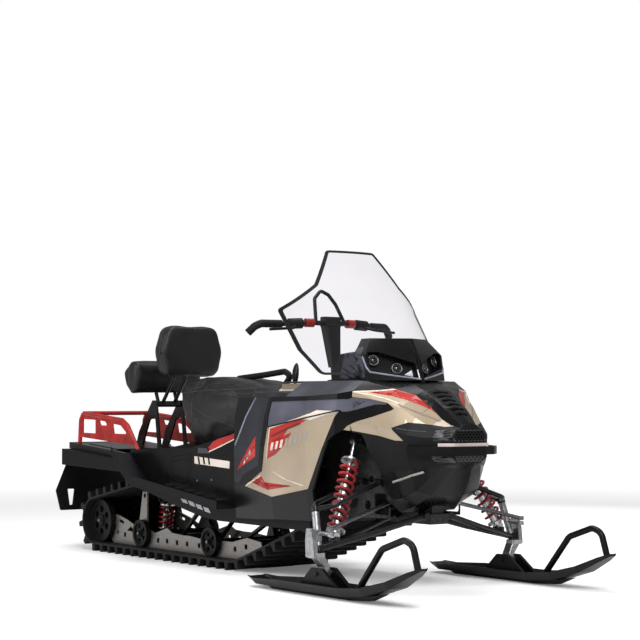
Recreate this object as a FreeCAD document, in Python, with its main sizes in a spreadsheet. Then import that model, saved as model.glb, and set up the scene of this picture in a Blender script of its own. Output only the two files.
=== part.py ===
"""Utility snowmobile with a long track, built as the assembly of its real pieces.

Millimetres. +X is forward, +Y is the rider's left, +Z is up. The origin is on the
ground, on the centre line, half way between the ski tips and the rack's rear end.
"""
import FreeCAD
import Part

import math
import os

from FreeCAD import Vector

DOCUMENT = FreeCAD.newDocument("Snowmobile")
SHEET = DOCUMENT.addObject("Spreadsheet::Sheet", "Sizes")

# Driving dimensions, each with what it measures
SIZES = [
    ("front_end", 1585.0, "ski tip ahead of the origin"),
    ("rear_end", -1585.0, "rack and snow flap behind the origin"),
    ("stance_half", 488.0, "centre line of a ski from the middle"),
    ("ski_length", 1060.0, "ski from tail to tip"),
    ("ski_width", 150.0, "ski across its deck"),
    ("ski_thickness", 9.0, "plastic of the ski"),
    ("ski_side", 34.0, "height of the ski's turned-up sides"),
    ("keel_depth", 16.0, "keel under the ski"),
    ("loop_radius", 13.0, "tube of the ski's loop handle"),
    ("arm_tube_radius", 12.5, "tube of the lower suspension arms"),
    ("upper_tube_radius", 10.0, "tube of the upper suspension arms"),
    ("joint_radius", 17.0, "eye of a ball joint"),
    ("joint_height", 22.0, "height of a ball joint's eye"),
    ("joint_gap", 0.5, "running gap at the ball joints"),
    ("stud_radius", 6.0, "stud of a ball joint"),
    ("stud_clearance", 0.1, "stud in its eye"),
    ("tie_rod_radius", 8.0, "tie rod"),
    ("steer_arm", 86.0, "steering arm ahead of the ski's axis"),
    ("rod_eye", 13.0, "eye of a tie rod and of its arm"),
    ("rod_rise", 4.5, "tie rod's eye above the steering arm"),
    ("shock_rod_radius", 8.0, "damper rod"),
    ("shock_body_radius", 21.0, "damper body"),
    ("spring_radius", 38.0, "spring outside"),
    ("spring_wire", 11.5, "spring wire"),
    ("track_clearance", 21.0, "track inside the tunnel's sides"),
    ("belt_thickness", 10.0, "track belt"),
    ("lug_height", 34.0, "lug above the belt"),
    ("lug_count", 54.0, "lugs round the track"),
    ("lug_base", 30.0, "lug at the belt"),
    ("lug_tip", 16.0, "lug at its tip"),
    ("idler_radius", 108.0, "inside of the belt at the rear idlers"),
    ("sprocket_radius", 95.0, "inside of the belt at the sprockets"),
    ("carrier_radius", 45.0, "inside of the belt at the carrier wheels"),
    ("nose_radius", 300.0, "inside of the belt at the rail noses"),
    ("wheel_gap", 0.3, "wheels and rails from the belt"),
    ("wheel_width", 28.0, "idler and bogie wheels"),
    ("bogie_radius", 66.0, "bogie wheels"),
    ("rail_y", 178.0, "slide rail from the middle"),
    ("rail_plate", 8.0, "slide rail's web"),
    ("tunnel_half", 275.0, "outside of the tunnel"),
    ("tunnel_wall", 4.0, "tunnel sheet"),
    ("board_outer", 400.0, "outer edge of a running board"),
    ("board_lip", 30.0, "lip of a running board"),
    ("shell_wall", 6.0, "body panels"),
    ("panel_step", 3.0, "coloured panels below the black frame"),
    ("windshield_wall", 4.0, "windshield sheet"),
    ("trim_width", 10.0, "windshield edge trim"),
    ("bar_radius", 11.0, "handlebar tube"),
    ("post_radius", 13.0, "steering post"),
    ("post_clearance", 0.2, "steering post in its bearing"),
    ("grip_radius", 17.0, "handlebar grips"),
    ("rack_half", 215.0, "rack rails from the middle"),
    ("rack_tube", 11.0, "rack tubes"),
    ("pad_gap", 0.3, "soft pads from what carries them"),
    ("hitch_hole", 8.5, "radius of the hitch hole"),
    ("hitch_plate", 10.0, "hitch tongue"),
]

for row, (alias, value, meaning) in enumerate(SIZES, start=1):
    SHEET.set(f"A{row}", meaning)
    SHEET.set(f"B{row}", str(value))
    SHEET.setAlias(f"B{row}", alias)
DOCUMENT.recompute()

NODES = {}


def size(alias):
    """A driving dimension, read back from the sheet."""
    return float(SHEET.get(alias))


# Wires, faces and solids shared by the pieces


def place(plane, across, up, depth=0.0):
    """A point of a drawing plane: XZ looks along Y, YZ along X and XY along Z."""
    if plane == "XZ":
        return Vector(across, depth, up)
    if plane == "YZ":
        return Vector(depth, across, up)
    return Vector(across, up, depth)


def corner(before, point, after, radius):
    """Tangent arc at a corner of a path: its start, middle and end, or None on a straight."""
    inward = (before - point).normalize()
    outward = (after - point).normalize()
    half = inward.getAngle(outward) / 2
    if abs(half - math.pi / 2) < 1e-3 or radius <= 0:
        return None
    room = 0.49 * min((before - point).Length, (after - point).Length)
    reach = min(radius / math.tan(half), room)
    bisector = (inward + outward).normalize()
    radius = reach * math.tan(half)
    centre = point + bisector * (radius / math.sin(half))
    return point + inward * reach, centre - bisector * radius, point + outward * reach


def rounded(points, radius, closed=False):
    """Straight runs joined by tangent arcs, as one wire. radius is one value or a list."""
    points = [Vector(p) for p in points]
    count = len(points)
    radii = radius if isinstance(radius, (list, tuple)) else [radius] * count
    edges = []
    pen = None
    first = None
    for i, point in enumerate(points):
        ends = not closed and i in (0, count - 1)
        arc = None if ends else corner(points[i - 1], point, points[(i + 1) % count], radii[i])
        start = arc[0] if arc else point
        if pen is None:
            first = start
        elif (start - pen).Length > 1e-6:
            edges.append(Part.LineSegment(pen, start).toShape())
        if arc:
            edges.append(Part.Arc(*arc).toShape())
        pen = arc[2] if arc else point
    if closed and (first - pen).Length > 1e-6:
        edges.append(Part.LineSegment(pen, first).toShape())
    return Part.Wire(edges)


def drawn(plane, outline, radius=0.0, depth=0.0):
    """Closed wire of an outline drawn on a plane."""
    return rounded([place(plane, a, b, depth) for a, b in outline], radius, closed=True)


def slab(plane, outline, low, high, radius=0.0):
    """Solid of an outline between two depths of its plane."""
    face = Part.Face(drawn(plane, outline, radius, low))
    return face.extrude(place(plane, 0.0, 0.0, high - low))


def loft(wires, ruled=True):
    return Part.makeLoft(wires, True, ruled)


def rod(points, radius, bend=0.0):
    """Round bar along a path with tangent bends."""
    points = [Vector(p) for p in points]
    if len(points) == 2:
        axis = points[1] - points[0]
        return Part.makeCylinder(radius, axis.Length, points[0], axis)
    path = rounded(points, bend)
    profile = Part.Wire(Part.makeCircle(radius, points[0], points[1] - points[0]))
    return path.makePipeShell([profile], True, True)


def disc(centre, axis, radius, thickness):
    """Cylinder centred on a point."""
    axis = Vector(axis).normalize()
    return Part.makeCylinder(radius, thickness, Vector(centre) - axis * (thickness / 2), axis)


def joined(shapes):
    whole = shapes[0]
    if len(shapes) > 1:
        whole = shapes[0].fuse(list(shapes[1:]))
    return whole.removeSplitter()


def biggest(shape):
    """The largest solid of a shape, leaving slivers out."""
    return max(shape.Solids, key=lambda item: item.Volume)


def mirrored(shape):
    """The same shape on the other side of the middle."""
    return shape.mirror(Vector(0, 0, 0), Vector(0, 1, 0))


def solid(label, shape):
    """A sub-part whose form comes from Part's own functions."""
    piece = DOCUMENT.addObject("Part::Feature", label)
    piece.Label = label
    piece.Shape = shape
    piece.Placement = FreeCAD.Placement()
    NODES[label] = piece
    return piece


def pair(name, shape):
    """Left sub-part and its right twin."""
    solid(f"{name}_left", shape)
    twin = DOCUMENT.addObject("Part::Mirroring", f"{name}_right")
    twin.Label = f"{name}_right"
    twin.Source = NODES[f"{name}_left"]
    twin.Normal = (0, 1, 0)
    twin.Base = (0, 0, 0)
    NODES[f"{name}_right"] = twin
    return twin


def twins(name, shape):
    """One sub-part of a left piece and its mirrored twin."""
    left = DOCUMENT.addObject("Part::Feature", f"{name}_near")
    left.Shape = shape
    right = DOCUMENT.addObject("Part::Mirroring", f"{name}_far")
    right.Source = left
    right.Normal = (0, 1, 0)
    right.Base = (0, 0, 0)
    both = DOCUMENT.addObject("Part::Compound", name)
    both.Label = name
    both.Links = [left, right]
    NODES[name] = both
    return both


def several(label, shapes):
    """One sub-part of solids that don't touch."""
    return solid(label, Part.makeCompound([single for shape in shapes for single in shape.Solids]))


def padded_sketch(label, plane, outlines, start, depth, reverse=False):
    """PartDesign body: one sketch of closed outlines, holes after the outer one, and its pad."""
    roles = {"XZ": "XZ_Plane", "YZ": "YZ_Plane", "XY": "XY_Plane"}
    body = DOCUMENT.addObject("PartDesign::Body", f"{label}_body")
    sketch = body.newObject("Sketcher::SketchObject", f"{label}_sketch")
    features = {item.Role: item for item in body.Origin.OriginFeatures}
    sketch.AttachmentSupport = [(features[roles[plane]], "")]
    sketch.MapMode = "FlatFace"
    normal = -1.0 if plane == "XZ" else 1.0
    sketch.AttachmentOffset = FreeCAD.Placement(Vector(0, 0, normal * start), FreeCAD.Rotation())
    for outline in outlines:
        if isinstance(outline[0], (int, float)):
            across, up, radius = outline
            sketch.addGeometry(Part.Circle(Vector(across, up, 0), Vector(0, 0, 1), radius))
            continue
        corners = [Vector(a, b, 0) for a, b in outline]
        for here, there in zip(corners, corners[1:] + corners[:1]):
            sketch.addGeometry(Part.LineSegment(here, there))
    pad = body.newObject("PartDesign::Pad", f"{label}_pad")
    pad.Profile = sketch
    pad.Reversed = (plane == "XZ") != reverse
    pad.setExpression("Length", f"Sizes.{depth}")
    sketch.Visibility = False
    body.Tip = pad
    return body


# Track: one loop round the idler, the rail noses, the sprockets and the carrier wheels

BOTTOM = size("lug_height") + size("belt_thickness")
IDLER = (-1266.0, BOTTOM + size("idler_radius"))
NOSE = (-60.0, BOTTOM + size("nose_radius"))
SPROCKET = (430.0, 300.0)
CARRIER = (-880.0, 292.0)
WHEELS = [
    (IDLER, size("idler_radius")),
    (NOSE, size("nose_radius")),
    (SPROCKET, size("sprocket_radius")),
    (CARRIER, size("carrier_radius")),
]


def belt_spans():
    """Tangent lines of the belt's inside, counter-clockwise round the wheels."""
    spans = []
    for (here, r_here), (there, r_there) in zip(WHEELS, WHEELS[1:] + WHEELS[:1]):
        dx = there[0] - here[0]
        dz = there[1] - here[1]
        length = math.hypot(dx, dz)
        heading = math.atan2(dz, dx)
        lean = math.asin((r_here - r_there) / length)
        normal = heading - math.pi / 2 + lean
        spans.append((normal, here, r_here, there, r_there))
    return spans


def belt_point(distance, spans):
    """Point of the belt's inside and its outward normal at a distance round the loop."""
    for index, (normal, here, r_here, there, r_there) in enumerate(spans):
        start = (here[0] + r_here * math.cos(normal), here[1] + r_here * math.sin(normal))
        end = (there[0] + r_there * math.cos(normal), there[1] + r_there * math.sin(normal))
        run = math.hypot(end[0] - start[0], end[1] - start[1])
        if distance <= run:
            part = distance / run
            return (start[0] + (end[0] - start[0]) * part, start[1] + (end[1] - start[1]) * part), normal
        distance -= run
        following = spans[(index + 1) % len(spans)][0]
        turn = (following - normal) % (2 * math.pi)
        if distance <= turn * r_there:
            angle = normal + distance / r_there
            return (there[0] + r_there * math.cos(angle), there[1] + r_there * math.sin(angle)), angle
        distance -= turn * r_there
    return belt_point(0.0, spans)


def belt_length(spans):
    total = 0.0
    for index, (normal, here, r_here, there, r_there) in enumerate(spans):
        total += math.sqrt((there[0] - here[0]) ** 2 + (there[1] - here[1]) ** 2 - (r_here - r_there) ** 2)
        turn = (spans[(index + 1) % len(spans)][0] - normal) % (2 * math.pi)
        total += turn * r_there
    return total


def lifted(distance, height, spans):
    (x, z), angle = belt_point(distance, spans)
    return x + height * math.cos(angle), z + height * math.sin(angle)


BELT_FACETS = 3


def seat_radius(radius):
    """A wheel's radius that clears the belt's flat facets by the wheel gap."""
    facet = belt_length(belt_spans()) / (int(size("lug_count")) * BELT_FACETS)
    return radius * math.cos(facet / (2 * radius)) - size("wheel_gap")


def track_lane(low, high, phase):
    """One lane of the track: belt and lugs in one outline."""
    spans = belt_spans()
    total = belt_length(spans)
    count = int(size("lug_count"))
    pitch = total / count
    belt = size("belt_thickness")
    tip = belt + size("lug_height")
    outer = []
    inner = []
    for lug in range(count):
        middle = ((lug + phase) * pitch) % total
        base = size("lug_base") / 2
        top = size("lug_tip") / 2
        for offset, height in [(-base, belt), (-top, tip), (top, tip), (base, belt)]:
            outer.append(lifted((middle + offset) % total, height, spans))
        outer.append(lifted((middle + pitch / 2) % total, belt, spans))
    facets = count * BELT_FACETS
    for facet in range(facets):
        inner.append(lifted(facet * total / facets, 0.0, spans))
    ring = Part.Face(Part.makePolygon([Vector(x, low, z) for x, z in outer + outer[:1]]))
    hole = Part.Face(Part.makePolygon([Vector(x, low, z) for x, z in inner + inner[:1]]))
    return ring.cut(hole).extrude(Vector(0, high - low, 0))


def make_track():
    edge = size("tunnel_half") - size("tunnel_wall") - size("track_clearance")
    middle = edge * 0.34
    lanes = [
        track_lane(-edge, -middle, 0.0),
        track_lane(-middle, middle, 0.5),
        track_lane(middle, edge, 0.0),
    ]
    solid("track", joined(lanes))


def wheel(centre, y, radius, width, spokes):
    """Spoked rubber-tyred wheel on the Y axis, with its windows cut."""
    middle = Vector(centre[0], y, centre[1])
    body = disc(middle, (0, 1, 0), radius, width)
    for side in (-1, 1):
        face = middle + Vector(0, side * width / 2, 0)
        body = body.cut(disc(face, (0, 1, 0), radius * 0.78, width * 0.5))
    body = body.fuse(disc(middle, (0, 1, 0), radius * 0.26, width))
    for spoke in range(spokes):
        angle = 2 * math.pi * (spoke + 0.5) / spokes
        at = middle + Vector(math.cos(angle), 0, math.sin(angle)) * (radius * 0.52)
        body = body.cut(disc(at, (0, 1, 0), radius * 0.16, width * 2))
    return body


def make_wheels():
    gap = size("wheel_gap")
    width = size("wheel_width")
    rail = size("rail_y")
    plate = size("rail_plate")
    outside = rail + plate / 2 + gap + width / 2
    axle = 11.0
    inner_y = rail - plate / 2 - gap

    idlers = []
    for y in (-outside, 0.0, outside):
        idlers.append(wheel(IDLER, y, seat_radius(size("idler_radius")), width, 6))
    idlers.append(disc((IDLER[0], 0, IDLER[1]), (0, 1, 0), axle, 2 * outside + width + 16))
    groups = [joined(idlers)]

    height = BOTTOM + gap + size("bogie_radius")
    for x in (-882.0, -267.0):
        bogies = []
        for y in (-outside, outside):
            bogies.append(wheel((x, height), y, size("bogie_radius"), width, 5))
        bogies.append(disc((x, 0, height), (0, 1, 0), axle, 2 * outside + width + 16))
        groups.append(joined(bogies))

    carriers = []
    for y in (-70.0, 70.0):
        carriers.append(wheel(CARRIER, y, seat_radius(size("carrier_radius")), width, 5))
    carriers.append(disc((CARRIER[0], 0, CARRIER[1]), (0, 1, 0), axle, 2 * inner_y))
    groups.append(joined(carriers))
    several("skid_wheels", groups)

    drive = [disc((SPROCKET[0], 0, SPROCKET[1]), (0, 1, 0), 17.0, 2 * (size("tunnel_half") - size("tunnel_wall")))]
    for y in (-95.0, 95.0):
        middle = Vector(SPROCKET[0], y, SPROCKET[1])
        drive.append(disc(middle, (0, 1, 0), seat_radius(size("sprocket_radius")), 30.0))
        for tooth in range(8):
            angle = 2 * math.pi * tooth / 8
            at = middle + Vector(math.cos(angle), 0, math.sin(angle)) * 58.0
            drive[-1] = drive[-1].cut(disc(at, (0, 1, 0), 15.0, 60.0))
    solid("drive_axle", joined(drive))


def axle_holes(shape, centres, radius):
    for x, z in centres:
        shape = shape.cut(disc((x, 0, z), (0, 1, 0), radius, 1000.0))
    return shape


SHOCK_REAR = -985.0


def make_skid():
    """Slide rails with their windows, cross tubes, swing arms, rear shock and spring."""
    gap = size("wheel_gap")
    low = BOTTOM + gap
    rail_y = size("rail_y")
    plate = size("rail_plate")
    slope = belt_spans()[1][0] + math.pi / 2
    along = Vector(math.cos(slope), 0, math.sin(slope))
    bend = Vector(NOSE[0] + size("nose_radius") * math.sin(slope), 0, NOSE[1])
    bend = Vector(bend.x, 0, NOSE[1] - size("nose_radius") * math.cos(slope))
    front = bend + along * 95.0
    up = Vector(-along.z, 0, along.x)
    outline = [
        (IDLER[0] - 22.0, IDLER[1] - 22.0),
        (IDLER[0] + 40.0, low + 34.0),
        (IDLER[0] + 90.0, low),
        (NOSE[0], low),
        (bend.x + gap * up.x, bend.z + gap),
        (front.x, front.z + gap),
        (front.x + up.x * 42.0, front.z + up.z * 42.0),
        (6.0, 144.0), (-50.0, 132.0), (-114.0, 118.0), (-179.0, 118.0), (-290.0, 113.0), (-304.0, 156.0),
        (-330.0, 168.0), (-352.0, 113.0), (-467.0, 122.0), (-555.0, 122.0), (-627.0, 127.0), (-673.0, 147.0),
        (-736.0, 129.0), (-783.0, 116.0), (-830.0, 128.0), (-858.0, 150.0),
        (-860.0, CARRIER[1] + 20.0),
        (-900.0, CARRIER[1] + 20.0),
        (-930.0, 165.0), (-953.0, 135.0), (-1041.0, 164.0), (-1150.0, 188.0), (-1190.0, 181.0),
        (IDLER[0] - 22.0, IDLER[1] + 26.0),
    ]
    windows = [
        [(-1129.0, 166.0), (-1078.0, 156.0), (-1082.0, 142.0), (-1122.0, 151.0)],
        [(-1050.0, 112.0), (-1011.0, 136.0), (-972.0, 109.0)],
        (-1139.0, 99.0, 10.0),
    ]
    for x, z in [(-1069.0, 91.0), (-754.0, 83.0), (-672.0, 85.0), (-582.0, 83.0), (-493.0, 83.0), (-389.0, 83.0),
                 (-90.0, 88.0), (-2.0, 104.0)]:
        windows.append([(x - 11.0, z - 11.0), (x + 11.0, z - 11.0), (x + 11.0, z + 11.0), (x - 11.0, z + 11.0)])
    body = padded_sketch("slide_rail", "XZ", [outline] + windows, rail_y - plate / 2, "rail_plate")
    DOCUMENT.recompute()
    rail = body.Shape.copy()
    wheel_centres = [IDLER, CARRIER, (-882.0, BOTTOM + gap + size("bogie_radius"))]
    wheel_centres.append((-267.0, BOTTOM + gap + size("bogie_radius")))
    rail = axle_holes(rail, wheel_centres, 11.0 + gap)
    inner = rail_y - plate / 2
    crossings = []
    for x in (SHOCK_REAR, -640.0, -150.0):
        crossings.append(disc((x, 0, low + 31.0), (0, 1, 0), 12.0, 2 * inner))
    solid("slide_rails", joined([rail, mirrored(rail)] + crossings))

    arm_z = low + 31.0 + 12.0 + 15.0 + gap
    front_arm = []
    for side in (-1, 1):
        y = side * 120.0
        front_arm.append(rod([(-150.0, y, arm_z), (-20.0, y, low + 120.0), (165.0, y, 258.0)], 11.0, 60.0))
    front_arm.append(disc((165.0, 0, 258.0), (0, 1, 0), 15.0, 2 * (size("tunnel_half") - size("tunnel_wall"))))
    front_arm.append(rod([(-150.0, -120.0, arm_z), (-150.0, 120.0, arm_z)], 15.0))

    rear_arm = []
    for side in (-1, 1):
        y = side * 120.0
        rear_arm.append(rod([(-640.0, y, arm_z), (-410.0, y, 300.0)], 11.0))
    rear_arm.append(disc((-410.0, 0, 300.0), (0, 1, 0), 15.0, 2 * (size("tunnel_half") - size("tunnel_wall"))))
    rear_arm.append(rod([(-640.0, -120.0, arm_z), (-640.0, 120.0, arm_z)], 15.0))
    several("swing_arms", [joined(front_arm), joined(rear_arm)])


def shock(lower, upper, share, turns):
    """Damper with its eyes, and the coil spring round it."""
    lower = Vector(lower)
    upper = Vector(upper)
    axis = (upper - lower).normalize()
    length = (upper - lower).Length
    body_end = lower + axis * (length * 0.55)
    pieces = [
        rod([lower + axis * 8.0, body_end], size("shock_body_radius")),
        rod([body_end, upper - axis * 8.0], size("shock_rod_radius")),
        disc(lower, (1, 0, 0), 15.0, 30.0),
        disc(upper, (1, 0, 0), 15.0, 30.0),
        disc(lower + axis * 22.0, axis, size("spring_radius"), 8.0),
        disc(lower + axis * (length * share), axis, size("spring_radius"), 8.0),
    ]
    damper = joined(pieces)
    low = lower + axis * 26.0
    high = lower + axis * (length * share - 4.0)
    wire = size("spring_wire") / 2
    coil_radius = size("spring_radius") - wire
    span = (high - low).Length - 2 * wire
    helix = Part.makeHelix(span / turns, span, coil_radius)
    profile = Part.Wire(Part.makeCircle(wire, Vector(coil_radius, 0, 0), Vector(0, 1, 0)))
    coil = helix.makePipeShell([profile], True, True)
    seat = FreeCAD.Placement(low + axis * wire, FreeCAD.Rotation(Vector(0, 0, 1), axis))
    return damper, coil.transformed(seat.toMatrix(), copy=True)


# Front suspension and skis, drawn on the left side

UPPER_JOINT = Vector(935.0, size("stance_half") + 5.0, 332.0)
LOWER_JOINT = Vector(981.0, size("stance_half") + 22.0, 182.0)
STEER_AXIS = (UPPER_JOINT - LOWER_JOINT).normalize()
STEER_ARM_Z = 250.0
AXIS_AT_ARM = LOWER_JOINT + STEER_AXIS * ((STEER_ARM_Z - LOWER_JOINT.z) / STEER_AXIS.z)
STEER_ARM = AXIS_AT_ARM + Vector(size("steer_arm"), 0.0, 0.0)
FOOT = Vector(985.0, size("stance_half"), 87.0)
TIE_INNER = Vector(962.0, 100.0, 360.0)
LOWER_PIVOTS = [Vector(895.0, 62.0, 295.0), Vector(1085.0, 62.0, 295.0)]
UPPER_PIVOTS = [Vector(860.0, 205.0, 430.0), Vector(980.0, 205.0, 430.0)]
UPPER_SHOULDERS = [Vector(x, size("stance_half") - 46.0, 350.0) for x in (868.0, 1002.0)]
SHOCK_FOOT = Vector(982.0, size("stance_half") - 54.0, 229.5)
SHOCK_TOP = Vector(885.0, 258.0, 596.0)
PIVOT_RADIUS = 15.0
SADDLE_TOP = FOOT.z + 22.0
BEAM_TOP = 318.0


def suspension_arm(joint, pivots, shoulders, tube, column_side):
    """A-shaped arm: two tubes from the pivots' bushes to the ball joint's eye."""
    eye = disc(joint, STEER_AXIS, size("joint_radius"), size("joint_height"))
    pieces = [eye]
    for pivot, shoulder in zip(pivots, shoulders):
        start = joint + (shoulder - joint).normalize() * (size("joint_radius") * 0.6)
        pieces.append(rod([start, shoulder, pivot], tube, 40.0))
        pieces.append(disc(pivot, (1, 0, 0), PIVOT_RADIUS, 44.0))
    arm = joined(pieces)
    stud_hole = size("stud_radius") + size("stud_clearance")
    column = joint + STEER_AXIS * (column_side * (size("joint_height") / 2 + 20.0))
    arm = arm.cut(disc(column, STEER_AXIS, size("joint_radius") + 3.0, 40.0))
    return biggest(arm.cut(disc(joint, STEER_AXIS, stud_hole, 200.0)))


def make_arms():
    middles = [(pivot + LOWER_JOINT) * 0.5 + Vector(0, 0, -4.0) for pivot in LOWER_PIVOTS]
    lower = suspension_arm(LOWER_JOINT, LOWER_PIVOTS, middles, size("arm_tube_radius"), 1)
    top = SHOCK_FOOT.z - 15.0 - size("pad_gap")
    saddle = slab("XZ", [(955.0, 199.0), (1010.0, 199.0), (1010.0, 226.0), (997.3, 226.0), (997.3, top),
                         (966.7, top), (966.7, 226.0), (955.0, 226.0)], SHOCK_FOOT.y - 8.0, SHOCK_FOOT.y + 8.0)
    lower = joined([lower, saddle])
    upper = suspension_arm(UPPER_JOINT, UPPER_PIVOTS, UPPER_SHOULDERS, size("upper_tube_radius"), -1)
    several("suspension_arms", [lower, upper, mirrored(lower), mirrored(upper)])


def make_spindle():
    """Forged spindle: column on the steering axis, the foot below it and the steering arm."""
    half = size("joint_height") / 2 + size("joint_gap")
    top = UPPER_JOINT - STEER_AXIS * half
    bottom = LOWER_JOINT + STEER_AXIS * half
    column = rod([bottom, top], 15.0)
    upper_stud = rod([top, UPPER_JOINT + STEER_AXIS * half], size("stud_radius"))
    below = LOWER_JOINT - STEER_AXIS * half
    lower_stud = rod([below, bottom], size("stud_radius"))
    foot_top = below - STEER_AXIS * 9.0
    outward = 34.0
    bracket = loft([
        drawn("XY", [(958.0, LOWER_JOINT.y - 16.0), (1004.0, LOWER_JOINT.y - 16.0),
                     (1004.0, LOWER_JOINT.y + outward + 8.0), (958.0, LOWER_JOINT.y + outward + 8.0)],
              8.0, below.z - 22.0),
        drawn("XY", [(962.0, LOWER_JOINT.y - 16.0), (1006.0, LOWER_JOINT.y - 16.0),
                     (1006.0, LOWER_JOINT.y + outward + 8.0), (962.0, LOWER_JOINT.y + outward + 8.0)],
              8.0, below.z - 3.0),
    ])
    web_outline = [(952.0, below.z - 20.0), (1006.0, below.z - 20.0), (1000.0, 215.0), (985.0, 262.0),
                   (955.0, 262.0), (948.0, 215.0)]
    web = slab("XZ", web_outline, LOWER_JOINT.y + 22.0, LOWER_JOINT.y + outward + 8.0, 6.0)
    bridge = slab("XZ", [(950.0, 214.0), (992.0, 214.0), (984.0, 256.0), (954.0, 256.0)],
                  LOWER_JOINT.y - 8.0, LOWER_JOINT.y + 26.0, 4.0)
    shank = slab("XY", [(962.0, FOOT.y - 16.0), (1008.0, FOOT.y - 16.0), (1008.0, FOOT.y + 16.0),
                        (962.0, FOOT.y + 16.0)], FOOT.z - 12.0, SADDLE_TOP + 3.0, 6.0)
    leg = loft([
        drawn("XY", [(962.0, FOOT.y - 16.0), (1008.0, FOOT.y - 16.0), (1008.0, FOOT.y + 16.0),
                     (962.0, FOOT.y + 16.0)], 6.0, SADDLE_TOP + 3.0),
        drawn("XY", [(960.0, LOWER_JOINT.y - 16.0), (1004.0, LOWER_JOINT.y - 16.0),
                     (1004.0, LOWER_JOINT.y + 30.0), (960.0, LOWER_JOINT.y + 30.0)], 6.0, below.z - 18.0),
    ])
    hub = disc((FOOT.x, FOOT.y, FOOT.z), (0, 1, 0), 20.0, 44.0)
    arm = rod([AXIS_AT_ARM - Vector(0, 0, 8.0), STEER_ARM - Vector(0, 0, 8.0)], 8.0)
    arm_eye = disc(STEER_ARM - Vector(0, 0, 8.0), (0, 0, 1), size("rod_eye"), 16.0)
    whole = joined([column, upper_stud, lower_stud, bracket, web, bridge, shank, leg, hub, arm, arm_eye])
    for joint in (UPPER_JOINT, LOWER_JOINT):
        keep_out = disc(joint, STEER_AXIS, size("joint_radius") + 4.0, size("joint_height") + 2 * size("joint_gap"))
        keep_out = keep_out.cut(disc(joint, STEER_AXIS, size("stud_radius"), 200.0))
        whole = whole.cut(keep_out)
    pair("spindle", whole)


def make_skis():
    """Wide plastic ski with turned-up sides, its saddle and the loop handle."""
    y = size("stance_half")
    half = size("ski_width") / 2
    deck = size("ski_thickness")
    tip = size("front_end")
    tail = tip - size("ski_length")
    keel = size("keel_depth")
    stations = [
        (tail, 34.0, half * 0.62, 12.0),
        (tail + 60.0, keel, half * 0.86, 24.0),
        (tail + 240.0, keel, half, size("ski_side")),
        (tip - 430.0, keel, half, size("ski_side")),
        (tip - 290.0, keel + 12.0, half * 0.98, size("ski_side")),
        (tip - 150.0, keel + 52.0, half * 0.86, 28.0),
        (tip - 45.0, keel + 104.0, half * 0.56, 18.0),
        (tip, keel + 128.0, half * 0.26, 10.0),
    ]
    wires = []
    for x, z, wide, side in stations:
        section = [(y - wide, z + side), (y - wide * 0.72, z), (y + wide * 0.72, z), (y + wide, z + side),
                   (y + wide - deck * 0.7, z + side), (y + wide * 0.68, z + deck),
                   (y - wide * 0.68, z + deck), (y - wide + deck * 0.7, z + side)]
        wires.append(drawn("YZ", section, 0.0, x))
    blade = loft(wires, ruled=True)
    keel_outline = [(tail + 90.0, keel + 1.0), (tail + 130.0, 0.0), (tip - 420.0, 0.0),
                    (tip - 300.0, keel * 0.5), (tip - 210.0, keel + 26.0), (tip - 290.0, keel + 13.0),
                    (tip - 430.0, keel + 1.0)]
    keel_rib = slab("XZ", keel_outline, y - 14.0, y + 14.0)
    saddle_floor = keel + deck
    walls = []
    for side in (-1, 1):
        wall = slab("XZ", [(FOOT.x - 130.0, saddle_floor - 1.0), (FOOT.x + 150.0, saddle_floor - 1.0),
                           (FOOT.x + 120.0, saddle_floor + 24.0), (FOOT.x + 34.0, SADDLE_TOP),
                           (FOOT.x - 34.0, SADDLE_TOP), (FOOT.x - 100.0, saddle_floor + 24.0)],
                    y + side * 31.0 - 7.0, y + side * 31.0 + 7.0, 5.0)
        walls.append(wall)
    bolt = disc((FOOT.x, y, FOOT.z), (0, 1, 0), 9.0, 88.0)
    loop = rod([(tip - 400.0, y, keel + 6.0), (tip - 240.0, y, 205.0), (tip - 110.0, y, 248.0),
                (tip - 62.0, y, 232.0), (tip - 30.0, y, keel + 118.0)], size("loop_radius"), 45.0)
    whole = joined([blade, keel_rib, loop] + walls)
    pair("ski", joined([whole, bolt]).cut(disc(FOOT, (0, 1, 0), 21.0, 44.6)))


def make_tie_rods():
    """Both tie rods and the link between them, which slides across on the lower beam."""
    eye_height = 16.0
    end = STEER_ARM + Vector(0, 0, size("rod_rise") + eye_height / 2)
    start = TIE_INNER
    eye = disc(end, (0, 0, 1), size("rod_eye"), eye_height)
    bar = rod([end, start], size("tie_rod_radius"))
    ball = Part.makeSphere(13.0, start)
    arm = joined([bar, eye, ball])
    link = slab("YZ", [(-118.0, 348.0), (118.0, 348.0), (118.0, 372.0), (-118.0, 372.0)],
                TIE_INNER.x - 13.0, TIE_INNER.x + 13.0, 10.0)
    shoe = slab("YZ", [(-40.0, BEAM_TOP + size("pad_gap")), (40.0, BEAM_TOP + size("pad_gap")), (28.0, 350.0),
                       (-28.0, 350.0)], TIE_INNER.x - 11.0, TIE_INNER.x + 11.0)
    solid("tie_rods", joined([arm, mirrored(arm), link, shoe]))


def make_front_shocks():
    damper, coil = shock(SHOCK_FOOT, SHOCK_TOP, 0.78, 9)
    foot = (SHOCK_REAR, 0.0, BOTTOM + size("wheel_gap") + 58.4)
    rear, rear_coil = shock(foot, (SHOCK_REAR + 25.0, 0.0, 275.0), 0.8, 4)
    several("shocks", [damper, mirrored(damper), rear])
    several("springs", [coil, mirrored(coil), rear_coil])


# Chassis: tunnel, bulkhead, engine and the boards

TUNNEL_TOP_REAR = 507.0
TUNNEL_TOP_STEP = 431.0
TUNNEL_REAR = size("rear_end") + 25.0
STEP_X = -480.0
TUNNEL_FRONT = 605.0
BOARD_LINE = [(90.0, 289.0), (-105.0, 311.0), (-665.0, 376.0), (-835.0, 505.0)]


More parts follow.
